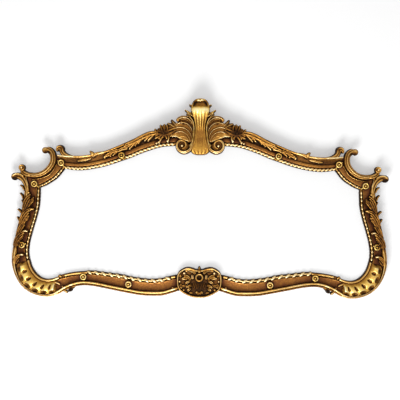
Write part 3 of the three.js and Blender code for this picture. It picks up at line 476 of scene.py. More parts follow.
def shoulder_section(width):
    """Plain band, fillet and hollow."""
    ridge = SHOULDER_RIDGE * width
    return moulding(width, [
        *bead(BAND_START, ridge - 3, BAND - 0.4, 0.8, bole=1), *bead(ridge - 2.5, ridge + 0.5, BAND, 2.4, 5),
        *bead(ridge + 1, width - 6, BAND - 0.5, -4, bole=1), [width, 30, 0]])


def gild_rails(name, shells):
    """Builds and gilds a rail of the left half and the matching one of the right half."""
    for side, turn in zip(SIDES, (lambda shell: shell, flipped)):
        rail = build(f"{name}_{side}_gilt", [turn(shell) for shell in shells])
        gild(rail, f"{name}_{side}", crease=MOULDING_CREASE)


scroll = shell_of(fused("scroll", [
    stroke(SHOULDER_SCROLL, reeded(3, 0.35)), knob(*SHOULDER_EYE), stroke(SHOULDER_NECK, reeded(2)),
    turned(*SHOULDER_BALL, BALL_PROFILE)]))
gild_rails("shoulder", [sweep(rail_line(SHOULDER_STATIONS), shoulder_section), scroll])

# ---- Stiles ----------------------------------------------------------------------------------
# The two side rails, which swell towards the foot and turn under the corner into the bottom rail.
# The scroll at the top and the plain round bead beside the glass at the corner are cut from the rail.

SIDE_STATIONS = [
    [-641, 43, -700, 100], [-641, 18, -701, 40], [-642, -2, -705, 0], [-643, -22, -706, -24],
    [-648, -50, -714, -54], [-656, -81, -722, -88], [-665, -111, -729, -118], [-673, -140, -737, -148],
    [-681, -172, -743, -179], [-685, -202, -748, -206], [-685, -225, -751, -234],
    [-680, -250, -750, -266], [-668, -283, -738, -308], [-652, -304, -716, -345],
    [-633, -318, -684, -373], [-609, -324, -648, -388], [-588, -321, -610, -393],
    [-572, -315, -575, -387], [-554, -306, -545, -372],
]
SIDE_RIM = [70, 75], [18, 10]  # widths of the stile, and of the outer mouldings there
SIDE_SCROLL = [
    [-687, 0, 5, 12], [-690, 28, 9, 14], [-696, 54, 11, 15], [-707, 76, 13, 15], [-724, 88, 14, 15],
    [-738, 88, 14, 16],
]
SIDE_SCROLL_EYE = (-742, 87, 15.5, 15)
SIDE_SCROLL_LIP = [[-704, 88, 4, 15], [-722, 97, 5, 17], [-738, 96, 5, 18], [-750, 88, 4, 16]]
BEAD_INSET = 6.2
PLAIN_BEAD = (4.6, 9)  # half width and rise
OWN_BASE = SEAT - 2  # a bead cut from the rail's own wood starts below the seat
CORNER_BEAD = (0.6, 0.985)  # shares of the stile's stations
CORNER_LEAF = [[-584, -334, 3, 6], [-570, -338, 4, 8], [-556, -345, 4, 7]]
CORNER_BEAD_TIP = [[-567, -308, 3, 5], [-560, -311, 3.5, 6], [-552, -316, 2, 4]]


def side_section(width):
    """Hollow band, groove, swelling and outer fillet."""
    rim = np.interp(width, *SIDE_RIM)
    quirk = width - rim
    return moulding(width, [
        *bead(BAND_START, quirk - 1, BAND - 0.5, -2, bole=1), [quirk, 23, 0], [quirk + 1, 23, 0],
        *bead(quirk + 1.5, quirk + rim - 6, 36 - 0.1 * rim, 1 + 0.33 * rim), [width - 5.5, 34.5, 0],
        *bead(width - 5, width, 34, 2.5, 6)])


def across(line, inset):
    """Plan points at a distance out from the sight edge, one for each row of a rail's line."""
    out = line[:, 2:] - line[:, :2]
    return line[:, :2] + out / np.linalg.norm(out, axis=1, keepdims=True) * np.reshape(inset, (-1, 1))


def own_bead(stations, shares):
    """Shell of a plain bead that is cut from the rail."""
    run = across(between(stations, *shares), BEAD_INSET)[::3]
    half, rise = np.broadcast_to(np.array(PLAIN_BEAD)[:, None], (2, len(run)))
    return stroke(np.column_stack([run, half, rise]), base=OWN_BASE, foot=SEAT)


side_scroll = shell_of(fused("side_scroll", [
    stroke(SIDE_SCROLL, reeded(2, 0.3)), knob(*SIDE_SCROLL_EYE), stroke(SIDE_SCROLL_LIP), stroke(CORNER_LEAF),
    stroke(CORNER_BEAD_TIP, leaf(6), base=OWN_BASE, foot=SEAT)]))
gild_rails("side_rail", [
    sweep(rail_line(SIDE_STATIONS), side_section), side_scroll, own_bead(SIDE_STATIONS, CORNER_BEAD)])

# ---- Bottom rail -----------------------------------------------------------------------------
# One long serpentine rail with two round fillets at its lower edge, levelled in the middle for the
# cartouche. Small curls end it at the corners, and plain beads run beside the glass where there is no
# ribbon.

BOTTOM_STATIONS = [
    [0, -301, 0, -360], [-45, -301, -42, -360], [-88, -303, -80, -366], [-115, -308, -106, -374],
    [-150, -317, -145, -385], [-190, -321, -190, -387], [-232, -318, -235, -385],
    [-273, -312, -277, -378], [-315, -303, -319, -370], [-355, -298, -360, -362],
    [-395, -293, -399, -354], [-430, -289, -430, -349], [-463, -291, -458, -347],
    [-495, -294, -482, -349], [-526, -299, -511, -357], [-554, -306, -545, -372],
]
BOTTOM_FILLETS = 19  # width of the two fillets
BOTTOM_CURL = [[-549, -348, 4, 8], [-544, -360, 4.5, 10], [-535, -371, 5, 11], [-526, -377, 5, 11]]
BOTTOM_CURL_LEAF = [[-500, -350, 5, 7], [-512, -357, 8, 8], [-518, -367, 8, 8], [-520, -374, 6, 7]]
BOTTOM_KNOB = (-106, -357, 6, 7)
END_BEAD = (0.77, 0.985)  # shares of the half rail's stations, from the centre
CENTRE_BEAD = (0.15, 0.21)
LEVELLED = (82, 36)  # half length and height of the flat on which the cartouche is laid


def bottom_section(width):
    """Hollow band, groove and the two fillets."""
    quirk = width - BOTTOM_FILLETS
    return moulding(width, [
        *bead(BAND_START, quirk - 1, BAND - 0.4, -2.2, bole=1), [quirk, 23, 0], [quirk + 1.2, 23, 0],
        *bead(quirk + 1.8, quirk + 11, 35, 7), [quirk + 11.4, 36, 0],
        *bead(quirk + 12, width, 33, 3, 7)])


bottom_curl = shell_of(fused("bottom_curl", [
    stroke(BOTTOM_CURL), stroke(BOTTOM_CURL_LEAF, reeded(2)), knob(*BOTTOM_KNOB)]))
half_carving = [bottom_curl, own_bead(BOTTOM_STATIONS, END_BEAD), own_bead(BOTTOM_STATIONS, CENTRE_BEAD)]
moulded, *rest = sweep(both_halves(rail_line(BOTTOM_STATIONS)), bottom_section)
level = place(0, 0, LEVELLED[1])[..., 1]
under_cartouche = abs(moulded[:, 0]) < LEVELLED[0] * MM
moulded[under_cartouche, 1] = np.maximum(moulded[under_cartouche, 1], level)
bottom_rail = build("bottom_rail_gilt", [(moulded, *rest), *half_carving, *map(flipped, half_carving)])
gild(bottom_rail, "bottom_rail", crease=MOULDING_CREASE)

# ---- Crest shell -----------------------------------------------------------------------------
# Lime wood, carved apart and glued to the top rail. A shaft narrows to a waist and opens into flutes
# that bend forward in a lip made bright with painted highlights, under a rolled hood whose inside is
# darkened with painted shade. It is burnished brighter than the rails.

SHELL = [  # [z, half width, relief, depth of flutes, height of side rims]
    [179, 16, 9, 2, 0], [184, 30, 13, 2.5, 0], [192, 37, 16, 2.5, 1], [202, 38, 18, 1, 2],
    [214, 35, 18, 0, 3], [230, 29, 18, 0, 3.5], [252, 24.5, 18, 0, 3.5], [272, 22, 19, 0.5, 3],
    [286, 21.5, 22, 2.5, 2], [300, 23, 26, 4.8, 1], [316, 26.5, 30, 4.8, 0.5], [330, 30.5, 34, 3.2, 0],
    [342, 34.5, 38, 1.6, 0], [351, 37.5, 41, 0.7, 0], [359, 38.5, 42.5, 0.3, 0], [366, 38, 40.5, 0.2, 0],
    [373, 36, 35.5, 0, 0], [381, 33, 33, 0, 0], [391, 27, 33, 0, 0], [399, 17, 33, 0, 0],
]
SHELL_FLUTES = 5
SHELL_HOOD = [
    [-31.5, 368, 3, 35], [-30, 378, 4, 36], [-25, 388, 5, 38], [-15, 395, 6, 40], [0, 397, 6, 41],
    [15, 395, 6, 40], [25, 388, 5, 38], [30, 378, 4, 36], [31.5, 368, 3, 35],
]
SHELL_ROLL = [
    [-17, 388, 4, 42], [-9, 392, 7.5, 47], [-1, 391, 6, 46], [7, 393, 6.5, 47], [15, 389, 4, 42],
]
SHELL_TIPS = [
    [[-22, 334, 5, 29], [-42, 345, 5, 28], [-63, 358, 2, 22]],
    [[-25, 330, 3, 31], [-40, 337, 3, 31], [-53, 346, 2, 28]],
    [[-28, 364, 5, 36], [-37, 373, 4, 34], [-45, 379, 2, 30]],
]
SHELL_REED = [
    [-38, 206, 2.5, 19], [-31, 232, 3.2, 21], [-26.5, 262, 3.4, 22], [-25.5, 288, 3.4, 24],
    [-29, 308, 3.4, 27], [-37, 325, 3, 28],
]
SHELL_BED = [
    [-12, 204], [-12, 322], [-27, 330], [-38, 322], [-33, 300], [-31, 262], [-34, 232], [-43, 214],
    [-36, 202],
]
SHELL_BED_RELIEF = 16
BRIGHT_GOLD = [
    (0.0, "FFEDB4"), (0.2, "F0C96C"), (0.4, "C8943E"), (0.6, "96662A"), (0.78, "5A3814"),
    (0.9, "2E1A0A"), (1.0, "160C05"),
]
gold_leaf["bright_gilding"] = gilding("burnished water gilding", BRIGHT_GOLD)


def slab(outline, low, high):
    """Shell of a flat board cut to an outline."""
    outline = np.array(outline, float)
    return skin(np.stack([place(*outline.T, low), place(*outline.T, high)]))


def shell_shaft():
    """Shell of the fluted shaft and its lip, seen from the foot up."""
    z, half, relief, flute, rim = curve(SHELL, 10).T[:, :, None]
    c = np.sin(np.linspace(-math.pi / 2, math.pi / 2, 81))[None, :]
    ridges = np.abs(np.cos(math.pi * SHELL_FLUTES * c / 2)) ** 0.8 - 1
    rims = np.exp(-(((np.abs(c) - 0.78) / 0.12) ** 2))
    height = relief * (1 - 0.22 * c**2) + flute * ridges + rim * (rims - 0.8 * (1 - c**2))
    height = (BAND + height) * np.clip((1 - np.abs(c)) * 14, 0, 1) ** 0.4
    ring = place(half * c, z, np.maximum(height, CARVING_BACK + 1))
    back = place(half * np.array([[1, -1]]), z, CARVING_BACK)
    return skin(np.concatenate([ring, back], axis=1))


tips = [
    slab(SHELL_BED, CARVING_BACK, BAND + SHELL_BED_RELIEF), stroke(SHELL_REED),
    *(stroke(tip, leaf(7)) for tip in SHELL_TIPS)]
crest_shell = fused("crest_shell_gilt", [
    shell_shaft(), stroke(SHELL_HOOD), stroke(SHELL_ROLL), *tips, *map(flipped, tips)], voxel=1.1)
gild(crest_shell, "crest_shell", "bright_gilding")

# ---- Crest volutes ---------------------------------------------------------------------------
# A reeded band on each side of the shell, which rolls up round an eye made pale with a painted
# highlight in a ring of painted shade. Carved in lime wood and glued to the top rail over a thin bed.

VOLUTE = [
    [-27, 290, 4, 17], [-28, 262, 5, 20], [-29, 235, 6, 21], [-34, 210, 6.5, 22], [-47, 194, 6.5, 22],
    [-66, 188, 6.5, 22], [-84, 195, 6, 21], [-93, 211, 5.5, 20], [-89, 228, 5.5, 19],
    [-76, 236, 5, 18], [-62, 230, 4.5, 17], [-57, 217, 4, 16], [-64, 206, 3.5, 15], [-74, 204, 3, 15],
]
VOLUTE_BED = [[2, 38], [12, 38], [20, 39], [25, 36], [26, 30], [26, 16]]
VOLUTE_FILL = (-43, 211), [[2, 36], [9, 36], [10, 33], [10, 16]]  # closes the hole beside the shaft
VOLUTE_EYE = (-73, 214, 5.5, 18)
VOLUTE_HEEL = [[-24, 262, 6, 12], [-27, 228, 9, 12], [-34, 202, 9, 12], [-48, 200, 8, 10]]


def mirrored(piece):
    """The matching piece of the right half."""
    mesh = piece.data.copy()
    mesh.transform(Matrix.Scale(-1, 4, (1, 0, 0)))
    mesh.flip_normals()
    return put(piece.name.replace("left", "right"), mesh)


def gild_pair(left, node, slot="gilding", crease=None):
    """Gilds a piece of the left half and its mirror image."""
    right = mirrored(left)
    gild(left, f"{node}_left", slot, crease)
    gild(right, f"{node}_right", slot, crease)


gild_pair(fused("crest_volute_gilt_left", [
    stroke(VOLUTE, reeded(2, 0.22)), stroke(VOLUTE_HEEL), turned(*VOLUTE_EYE[:2], VOLUTE_BED),
    turned(*VOLUTE_FILL[0], VOLUTE_FILL[1]), knob(*VOLUTE_EYE)]), "crest_volute")

# ---- Crest foliage ---------------------------------------------------------------------------
# Reeded fronds that spring from the volutes, a cluster of leaves and a long spray along the top rail.
# Carved in lime wood with deep holes between the lobes, and glued over the rail's cove.

CREST_FRONDS = [
    [[-24, 236, 4, 20], [-24, 268, 6, 22], [-29, 296, 8, 25], [-41, 315, 10, 28], [-59, 325, 10, 28],
     [-78, 324, 10, 27], [-93, 315, 8, 23]],
    [[-29, 236, 4, 20], [-31, 268, 6, 22], [-42, 292, 8, 24], [-61, 305, 8.5, 24], [-80, 305, 8.5, 24],
     [-95, 298, 7, 22]],
    [[-34, 232, 4, 20], [-38, 258, 7, 21], [-50, 275, 8, 22], [-68, 285, 8.5, 22], [-88, 287, 8, 22],
     [-109, 278, 7, 21]],
    [[-39, 228, 5, 19], [-46, 249, 7, 20], [-59, 263, 7.5, 21], [-76, 270, 7.5, 22], [-92, 268, 7, 22],
     [-102, 262, 6, 22]],
    [[-44, 228, 5, 18], [-52, 243, 7, 19], [-63, 251, 7, 19], [-76, 251, 7, 18], [-90, 245, 5, 17]],
    [[-88, 288, 7, 19], [-104, 302, 7.5, 20], [-117, 319, 4, 18]],
    [[-96, 284, 6, 19], [-116, 296, 8, 21], [-134, 303, 5, 20]],
    [[-27, 284, 4, 22], [-32, 310, 6, 25], [-42, 326, 7, 27], [-56, 335, 4, 25]],
    [[-31, 300, 4, 24], [-37, 322, 6, 27], [-46, 336, 6, 28], [-56, 344, 3, 25]],
]
FROND_ENDS = [[-89, 317, 8, 23], [-76, 309, 6, 21]]
CREST_LEAVES = [
    [[-98, 282, 8, 20], [-120, 270, 12, 21], [-145, 263, 13, 22], [-168, 268, 10, 20], [-181, 284, 4, 18]],
    [[-143, 262, 9, 22], [-150, 282, 10, 22], [-158, 300, 5, 19]],
    [[-140, 262, 9, 22], [-136, 284, 10, 21], [-143, 303, 5, 19]],
    [[-143, 262, 8, 22], [-154, 276, 9, 21], [-168, 286, 5, 18]],
    [[-143, 262, 9, 22], [-131, 250, 9, 20], [-130, 233, 6, 18]],
    [[-143, 262, 8, 22], [-124, 262, 9, 20], [-114, 254, 6, 18]],
    [[-143, 262, 9, 22], [-157, 248, 9, 19], [-165, 231, 6, 17]],
    [[-150, 262, 8, 22], [-170, 253, 9, 18], [-184, 244, 5, 14]],
]
CREST_BERRIES = [[-165, 228, 5, 15], [-175, 224, 4.5, 13], [-130, 233, 5, 18], [-146, 264, 6, 24]]
CREST_SPRAY = [
    [[-165, 266, 7, 20], [-200, 261, 10, 18], [-240, 243, 10, 17], [-278, 221, 8, 16], [-306, 199, 4, 13]],
    [[-184, 262, 6, 17], [-202, 247, 8, 16], [-213, 231, 4, 12]],
    [[-202, 258, 7, 17], [-217, 247, 9, 16], [-226, 231, 5, 12]],
    [[-222, 252, 7, 17], [-240, 239, 8, 15], [-251, 221, 4, 12]],
    [[-238, 244, 7, 17], [-254, 230, 9, 15], [-264, 212, 4, 11]],
    [[-256, 232, 7, 16], [-274, 216, 8, 14], [-287, 199, 4, 11]],
    [[-264, 230, 7, 17], [-288, 220, 7, 17], [-308, 211, 4.5, 17]],
    [[-290, 206, 7, 14], [-313, 200, 7, 15], [-333, 189, 4, 13]],
    [[-328, 196, 5, 14], [-350, 189, 6, 13], [-374, 183, 4, 12]],
    [[-318, 200, 5, 12], [-338, 188, 6, 11], [-352, 174, 4, 8]],
    [[-350, 186, 5, 12], [-368, 176, 6, 10], [-388, 169, 4, 8]],
]
SPRAY_TAIL = [[-436, 161, 3, 6], [-460, 156, 5.5, 8], [-478, 153, 5, 7], [-493, 151, 2.5, 5]]
SPRAY_BERRIES = [[-339, 183, 4.5, 9], [-359, 172, 4.5, 9], [-382, 165, 4, 8]]
CREST_BED = [
    [-20, 232], [-22, 300], [-26, 333], [-46, 334], [-66, 322], [-88, 308], [-114, 292], [-150, 282],
    [-170, 268], [-140, 252], [-96, 250], [-50, 232],
]
CREST_BED_RELIEF = 17


def lobed(points, ribs=3, stagger=0.1):
    """Shells of a leaf of ribs side by side, which end one after the other from the left on."""
    line = curve(points)
    run = heading(line)
    left = np.stack([-run[:, 1], run[:, 0]], axis=1)
    shells = []
    for k in range(ribs):
        rib = line.copy()
        rib[:, :2] += left * line[:, 2:3] * (1 - 1 / ribs) * (1 - 2 * k / (ribs - 1))
        rib[:, 2] *= 1.3 / ribs
        shells.append(stroke(rib[:round(len(rib) * (1 - stagger * k))][::4], spacing=1.6))
    return shells


gild_pair(fused("crest_foliage_gilt_left", [
    slab(CREST_BED, CARVING_BACK, BAND + CREST_BED_RELIEF),
    *(stroke(points, reeded(3, 0.3)) for points in CREST_FRONDS),
    *(knob(*end) for end in (*FROND_ENDS, *CREST_BERRIES, *SPRAY_BERRIES)),
    stroke(SPRAY_TAIL, reeded(2, 0.3)),
    *(shell for points in (*CREST_LEAVES, *CREST_SPRAY) for shell in lobed(points, 2, 0.06))],
    voxel=1.2, softening=1), "crest_foliage")

# ---- Bottom cartouche ------------------------------------------------------------------------
# An oval boss of lime wood glued on the bottom rail: a ring between curling leaves, over low reeds, on
# a ground darkened with painted shade, inside a round rim. Its leaf tips carry painted highlights.

CARTOUCHE_EDGE = [
    [0, -281], [-14, -281], [-28, -277], [-44, -274], [-58, -276], [-72, -283], [-83, -293], [-89, -308],
    [-90, -330], [-87, -350], [-78, -365], [-62, -376], [-43, -386], [-22, -392], [0, -394],
]
CARTOUCHE_RELIEF = 10
CARTOUCHE_RIM = [4, 19]  # half width and relief
CARTOUCHE_CENTRE = (0, -312)
CARTOUCHE_RING = [  # [radius, height]
    [0.5, 32], [8, 32], [8.6, 40], [9.4, 46], [11, 49.5], [13, 50.5], [15, 49.5], [16.6, 46],
    [17.2, 38], [17.2, 18],
]
CARTOUCHE_LEAVES = [
    [[-16, -300, 5, 19], [-22, -290, 6.5, 21], [-34, -284, 6.5, 21], [-48, -283, 5, 19], [-56, -290, 4, 17]],
    [[-26, -321, 4.5, 19], [-28, -309, 6.5, 23], [-27, -298, 4.5, 20]],
    [[-36, -326, 4, 17], [-40, -314, 6.5, 20], [-50, -306, 6.5, 20], [-64, -304, 5, 18]],
    [[-44, -320, 5, 18], [-58, -315, 8, 21], [-72, -320, 5, 19]],
    [[-34, -326, 4, 19], [-46, -330, 6.5, 22], [-58, -337, 4, 18]],
    [[-28, -343, 4, 18], [-40, -346, 6.5, 21], [-54, -353, 4, 18]],
    [[-32, -353, 4, 18], [-40, -359, 6.5, 21], [-48, -368, 4, 17]],
    [[-5, -366, 4, 15], [-10, -371, 5, 18], [-18, -372, 4, 15]],
    [[-9, -380, 4, 14], [-3, -375, 4.5, 17], [-1, -368, 4, 14]],
    [[-24, -378, 4, 14], [-32, -373, 5, 17], [-42, -375, 4, 14]],
    [[-5, -331, 5, 12.5], [-7, -347, 9, 14], [-9, -361, 5, 12.5]],
    [[-17, -330, 5, 12.5], [-21, -346, 10, 14.5], [-26, -361, 5, 12.5]],
    [[-30, -334, 5, 14], [-36, -343, 8, 16], [-42, -350, 5, 14]],
    [[-50, -340, 4, 15], [-62, -346, 6, 16], [-74, -347, 5, 15]],
    [[-70, -336, 4, 16], [-76, -346, 5, 18], [-72, -358, 4, 15]],
    [[-70, -310, 4, 16], [-78, -304, 5, 18], [-76, -294, 4, 15]],
]
CARTOUCHE_BUD = [[0, -298, 6, 19], [0, -286, 7, 22], [0, -268, 3, 18]]
CARTOUCHE_KNOBS = [
    [-60, -295, 5, 20], [-78, -328, 4, 17], [-72, -352, 4, 18], [-62, -362, 4.5, 18], [0, -288, 4.5, 24],
]


def cartouche_rim():
    """The outline of the left half, half a rim's width in from its edge."""
    edge = np.array(CARTOUCHE_EDGE, float)
    edge = np.vstack([edge[1] * [-1, 1], edge, edge[-2] * [-1, 1]])
    out = edge - CARTOUCHE_CENTRE
    line = edge - CARTOUCHE_RIM[0] * out / np.linalg.norm(out, axis=1, keepdims=True)
    return np.column_stack([line, np.broadcast_to(CARTOUCHE_RIM, line.shape)])


right_edge = [[-x, z] for x, z in CARTOUCHE_EDGE[-2:0:-1]]
half_carving = [
    stroke(cartouche_rim()), *(stroke(points, reeded(2, 0.3)) for points in CARTOUCHE_LEAVES),
    *(knob(*place_of) for place_of in CARTOUCHE_KNOBS)]
cartouche = fused("bottom_cartouche_gilt", [
    slab(CARTOUCHE_EDGE + right_edge, CARVING_BACK, BAND + CARTOUCHE_RELIEF),
    turned(*CARTOUCHE_CENTRE, CARTOUCHE_RING, 40), stroke(CARTOUCHE_BUD, leaf(8)), *half_carving,
    *map(flipped, half_carving)], voxel=1.1, softening=1)
gild(cartouche, "bottom_cartouche")

# ---- Stile acanthus --------------------------------------------------------------------------
# A long spray of acanthus up each stile, carved in lime wood and glued over the outer mouldings. Its
# lobes lie in over the plain band in bundles of ribs.

ACANTHUS_STEM = [
    [-736, -262, 6, 10], [-738, -225, 8, 12], [-736, -185, 9, 12], [-727, -140, 10, 13], [-717, -98, 10, 14],
    [-708, -60, 9, 15], [-698, -22, 8, 15], [-691, 8, 5, 12],
]
ACANTHUS_BUNDLES = [  # [x, z, half width, relief], from the outer edge in and up
    [[-706, -50, 6, 13], [-698, -24, 11, 15], [-687, -2, 12, 16], [-672, 13, 8, 13]],
    [[-698, -46, 4, 12], [-686, -26, 8, 14], [-670, -8, 7, 14], [-661, 4, 4, 11]],
    [[-719, -104, 7, 13], [-707, -76, 12, 15], [-691, -55, 11, 16], [-671, -43, 7, 14]],
    [[-714, -112, 4, 12], [-703, -92, 7, 14], [-690, -78, 7, 15], [-678, -72, 4, 12]],
    [[-731, -150, 6, 12], [-720, -126, 10, 14], [-706, -104, 9, 14], [-692, -92, 5, 11]],
    [[-740, -192, 7, 12], [-731, -166, 11, 14], [-714, -146, 11, 15], [-692, -133, 7, 15]],
    [[-736, -196, 4, 11], [-724, -172, 7, 13], [-704, -159, 5, 11]],
    [[-742, -262, 5, 11], [-736, -244, 7, 13], [-724, -231, 7, 14], [-706, -225, 5, 14]],
    [[-735, -262, 3, 8], [-727, -250, 4, 9], [-716, -242, 3, 8]],
]
ACANTHUS_TIPS = [
    [[-706, -4, 4, 12], [-712, 12, 4, 12], [-721, 22, 2.5, 10]],
    [[-702, 30, 4, 12], [-710, 46, 4, 12], [-721, 53, 2.5, 10]],
    [[-700, -28, 4, 12], [-708, -14, 4, 12], [-714, -5, 2.5, 10]],
    [[-707, -66, 5, 13], [-718, -52, 5, 13], [-730, -42, 3, 11]],
    [[-714, -100, 5, 13], [-723, -86, 5, 13], [-732, -73, 3, 11]],
]
ACANTHUS_ROLLS = [
    [[-680, -50, 4, 15], [-671, -43, 5.5, 17], [-662, -44, 4, 14]],
    [[-702, -74, 4, 15], [-692, -70, 5, 17], [-683, -72, 3.5, 14]],
    [[-709, -134, 4, 16], [-698, -130, 6, 18], [-686, -133, 4, 16]],
    [[-722, -229, 4, 15], [-712, -225, 6, 18], [-702, -228, 4, 15]],
    [[-690, 18, 4, 15], [-685, 23, 4, 16], [-679, 21, 3, 14]],
]

gild_pair(fused("stile_acanthus_gilt_left", [
    stroke(ACANTHUS_STEM, reeded(3, 0.3)), *(shell for points in ACANTHUS_BUNDLES for shell in lobed(points)),
    *(stroke(points) for points in (*ACANTHUS_TIPS, *ACANTHUS_ROLLS))],
    voxel=1.1, softening=1), "stile_acanthus")

# ---- Corner gadroons -------------------------------------------------------------------------
# A fan of pale convex flutes round each bottom corner, between the bead and the outer fillet. The
# carver cut a slot between two flutes on the inside and a pocket on the outside.

FAN = (10.95, 17.1)  # stations of the stile that the fan lies between, with a web on each whole one
FAN_RELIEF = 13.0
FAN_START = 0.17  # share of the rail's width, from the glass
FAN_END = (0.74, 0.93)  # at the first station of the fan, and from the second web on
SLOT = (0.38, 0.2, 0.38)  # middle and half length as shares of the fan's width, half width as one of a flute
POCKET = (0.8, 0.165, 0.74)
SLOT_DEPTH = 5.5
POCKET_DEPTH = 8.0
FLUTE_CREASE = 50  # degrees


def across_fan(rows, station, v):
    """x and z at shares of the fan's width, on rows of the stile at their stations."""
    end = np.interp(station, [FAN[0], FAN[0] + 2], FAN_END)
    fraction = FAN_START + (end - FAN_START) * v
    return (rows[..., k:k + 1] + (rows[..., k + 2:k + 3] - rows[..., k:k + 1]) * fraction for k in (0, 1))


def bowl(v, along, middle, half_length, half_width):
    """1 at the middle of an oval hollow, and 0 from its edge on."""
    return np.sqrt(np.clip(1 - ((v - middle) / half_length) ** 2 - (along / half_width) ** 2, 0, 1))


def gadroons():
    """Shell of the fan: a row across the rail at each step round the corner."""
    spans = len(SIDE_STATIONS) - 1
    rows = between(SIDE_STATIONS, FAN[0] / spans, FAN[1] / spans)
    rows = evenly(np.column_stack([rows, np.linspace(*FAN, len(rows))]), 1.0)[0]
    station = rows[:, 4:]
    v = np.linspace(0, 1, 70)[None, :]
    web = 2 * np.abs((station + 0.5) % 1 - 0.5)  # 0 on a web, 1 in the middle of a flute
    crown = np.sin(math.pi * np.clip(v * 0.86 + 0.06, 0, 1)) ** 0.8
    swell = np.clip((v - 0.05) / 0.25, 0, 1) * np.clip((0.9 - v) / 0.3, 0, 1)
    bulge = 4 * (np.sin(math.pi * web / 2) ** 0.8 - 0.4) * swell
    slot = SLOT_DEPTH * bowl(v, web * (1.25 - v), *SLOT)
    pocket = POCKET_DEPTH * bowl(v, 1 - web, *POCKET)
    height = BAND - 2 + (FAN_RELIEF + 2) * crown + bulge - slot - pocket
    sides = np.clip(np.minimum(station - FAN[0], FAN[1] - station) / 0.45, 0, 1) ** 0.7
    height = np.maximum((BAND - 4) * (1 - sides) + height * sides, CARVING_BACK + 1)
    x, z = across_fan(rows, station, v)
    under = place(x[:, [-1, 0]], z[:, [-1, 0]], CARVING_BACK)
    return skin(np.concatenate([place(x, z, height), under], axis=1))


gild_pair(build("corner_gadroon_left_gilt", [gadroons()]), "corner_gadroon", "bright_gilding", FLUTE_CREASE)

# ---- Rosettes --------------------------------------------------------------------------------
# Twelve small rings with a pale eye, carved apart and glued on, each with one or two drops beside it.

ROSETTE_PROFILE = [  # [radius, height]
    [0.3, 37.5], [1.8, 37.1], [3.2, 36], [4.1, 34.6], [4.6, 33], [6, 32.8], [6.6, 33.2], [7.1, 35],
    [8.1, 36.6], [9.6, 37.8], [11.2, 37.4], [12.4, 36], [13.1, 33.5], [13.2, 30], [13.2, CARVING_BACK],
]
ROSETTES = {  # [x, z] of the eye, and [x, z] of the end of each drop
    "rail_upper": [[-315, 175], [-306, 156]],
    "corner_upper": [[-557, 143], [-573, 153], [-542, 124]],
    "shoulder": [[-664, 58], [-641, 42]],
    "stile": [[-712, -187], [-694, -181]],
    "rail_outer": [[-465, -313], [-462, -330]],
    "rail_inner": [[-284, -342], [-289, -358]],
}
DROP = (4, 8), (2.6, 5)  # half width and relief at its start and its end
DROP_START = 10  # from the middle of the eye

for rosette, (eye, *drops) in ROSETTES.items():
    shells = [turned(*eye, ROSETTE_PROFILE, 36)]
    for end in drops:
        reach = np.array(end, float) - eye
        reach /= np.linalg.norm(reach)
        shells.append(stroke([[*(eye + DROP_START * reach), *DROP[0]], [*end, *DROP[1]]]))
    gild_pair(fused(f"rosette_{rosette}_gilt_left", shells, voxel=0.7, softening=1), f"rosette_{rosette}",
              "bright_gilding")

# ---- Ropes and ribbons -----------------------------------------------------------------------
# Composition ornament glued into the seat beside the glass: a rope of pale strands along the top, short
# beads down the shoulders and the upper stiles, and a twisted ribbon along the bottom rail.

ROPE = {"Pitch": 15.5, "Strand length": 20, "Strand width": 8.6, "Strand rise": 10, "Lean": 24, "Core": 3}
BEADS = {"Pitch": 15.5, "Strand length": 12, "Strand width": 8.2, "Strand rise": 11, "Lean": 9, "Core": 2.2}
RIBBON = {"Pitch": 27, "Strand length": 27, "Strand width": 11, "Strand rise": 13, "Lean": 33, "Core": 2.6}
ROPE_LEVEL = SEAT + 3.5
WOUND_INSET = 7.0  # the strands lean out over the sight edge
TOP_ROPE = (0.12, 0.985)  # shares of the half top rail's stations
SHOULDER_ROPE = (0.02, 1)
SIDE_ROPE = (0, 0.58)
RIBBON_RUN = (0.225, 0.755)


def sized_tree(name, given, sizes, made):
    """An empty Geometry Nodes tree with an input for each size, and its inputs."""
    tree = bpy.data.node_groups.new(name, "GeometryNodeTree")
    tree.interface.new_socket(given, in_out="INPUT", socket_type="NodeSocketGeometry")
    for size in sizes:
        tree.interface.new_socket(size, in_out="INPUT", socket_type="NodeSocketFloat")
    tree.interface.new_socket(made, in_out="OUTPUT", socket_type="NodeSocketGeometry")
    return tree, add(tree, "NodeGroupInput").outputs


def worked(piece, tree, sizes):
    """The piece with a tree of that kind worked into its mesh, at sizes in millimetres and degrees."""
    modifier = piece.modifiers.new(tree.name, "NODES")
    modifier.node_group = tree
    for item in tree.interface.items_tree:
        if item.name in sizes:
            value = sizes[item.name]
            modifier[item.identifier] = math.radians(value) if item.name == "Lean" else value * MM
    return applied(piece)


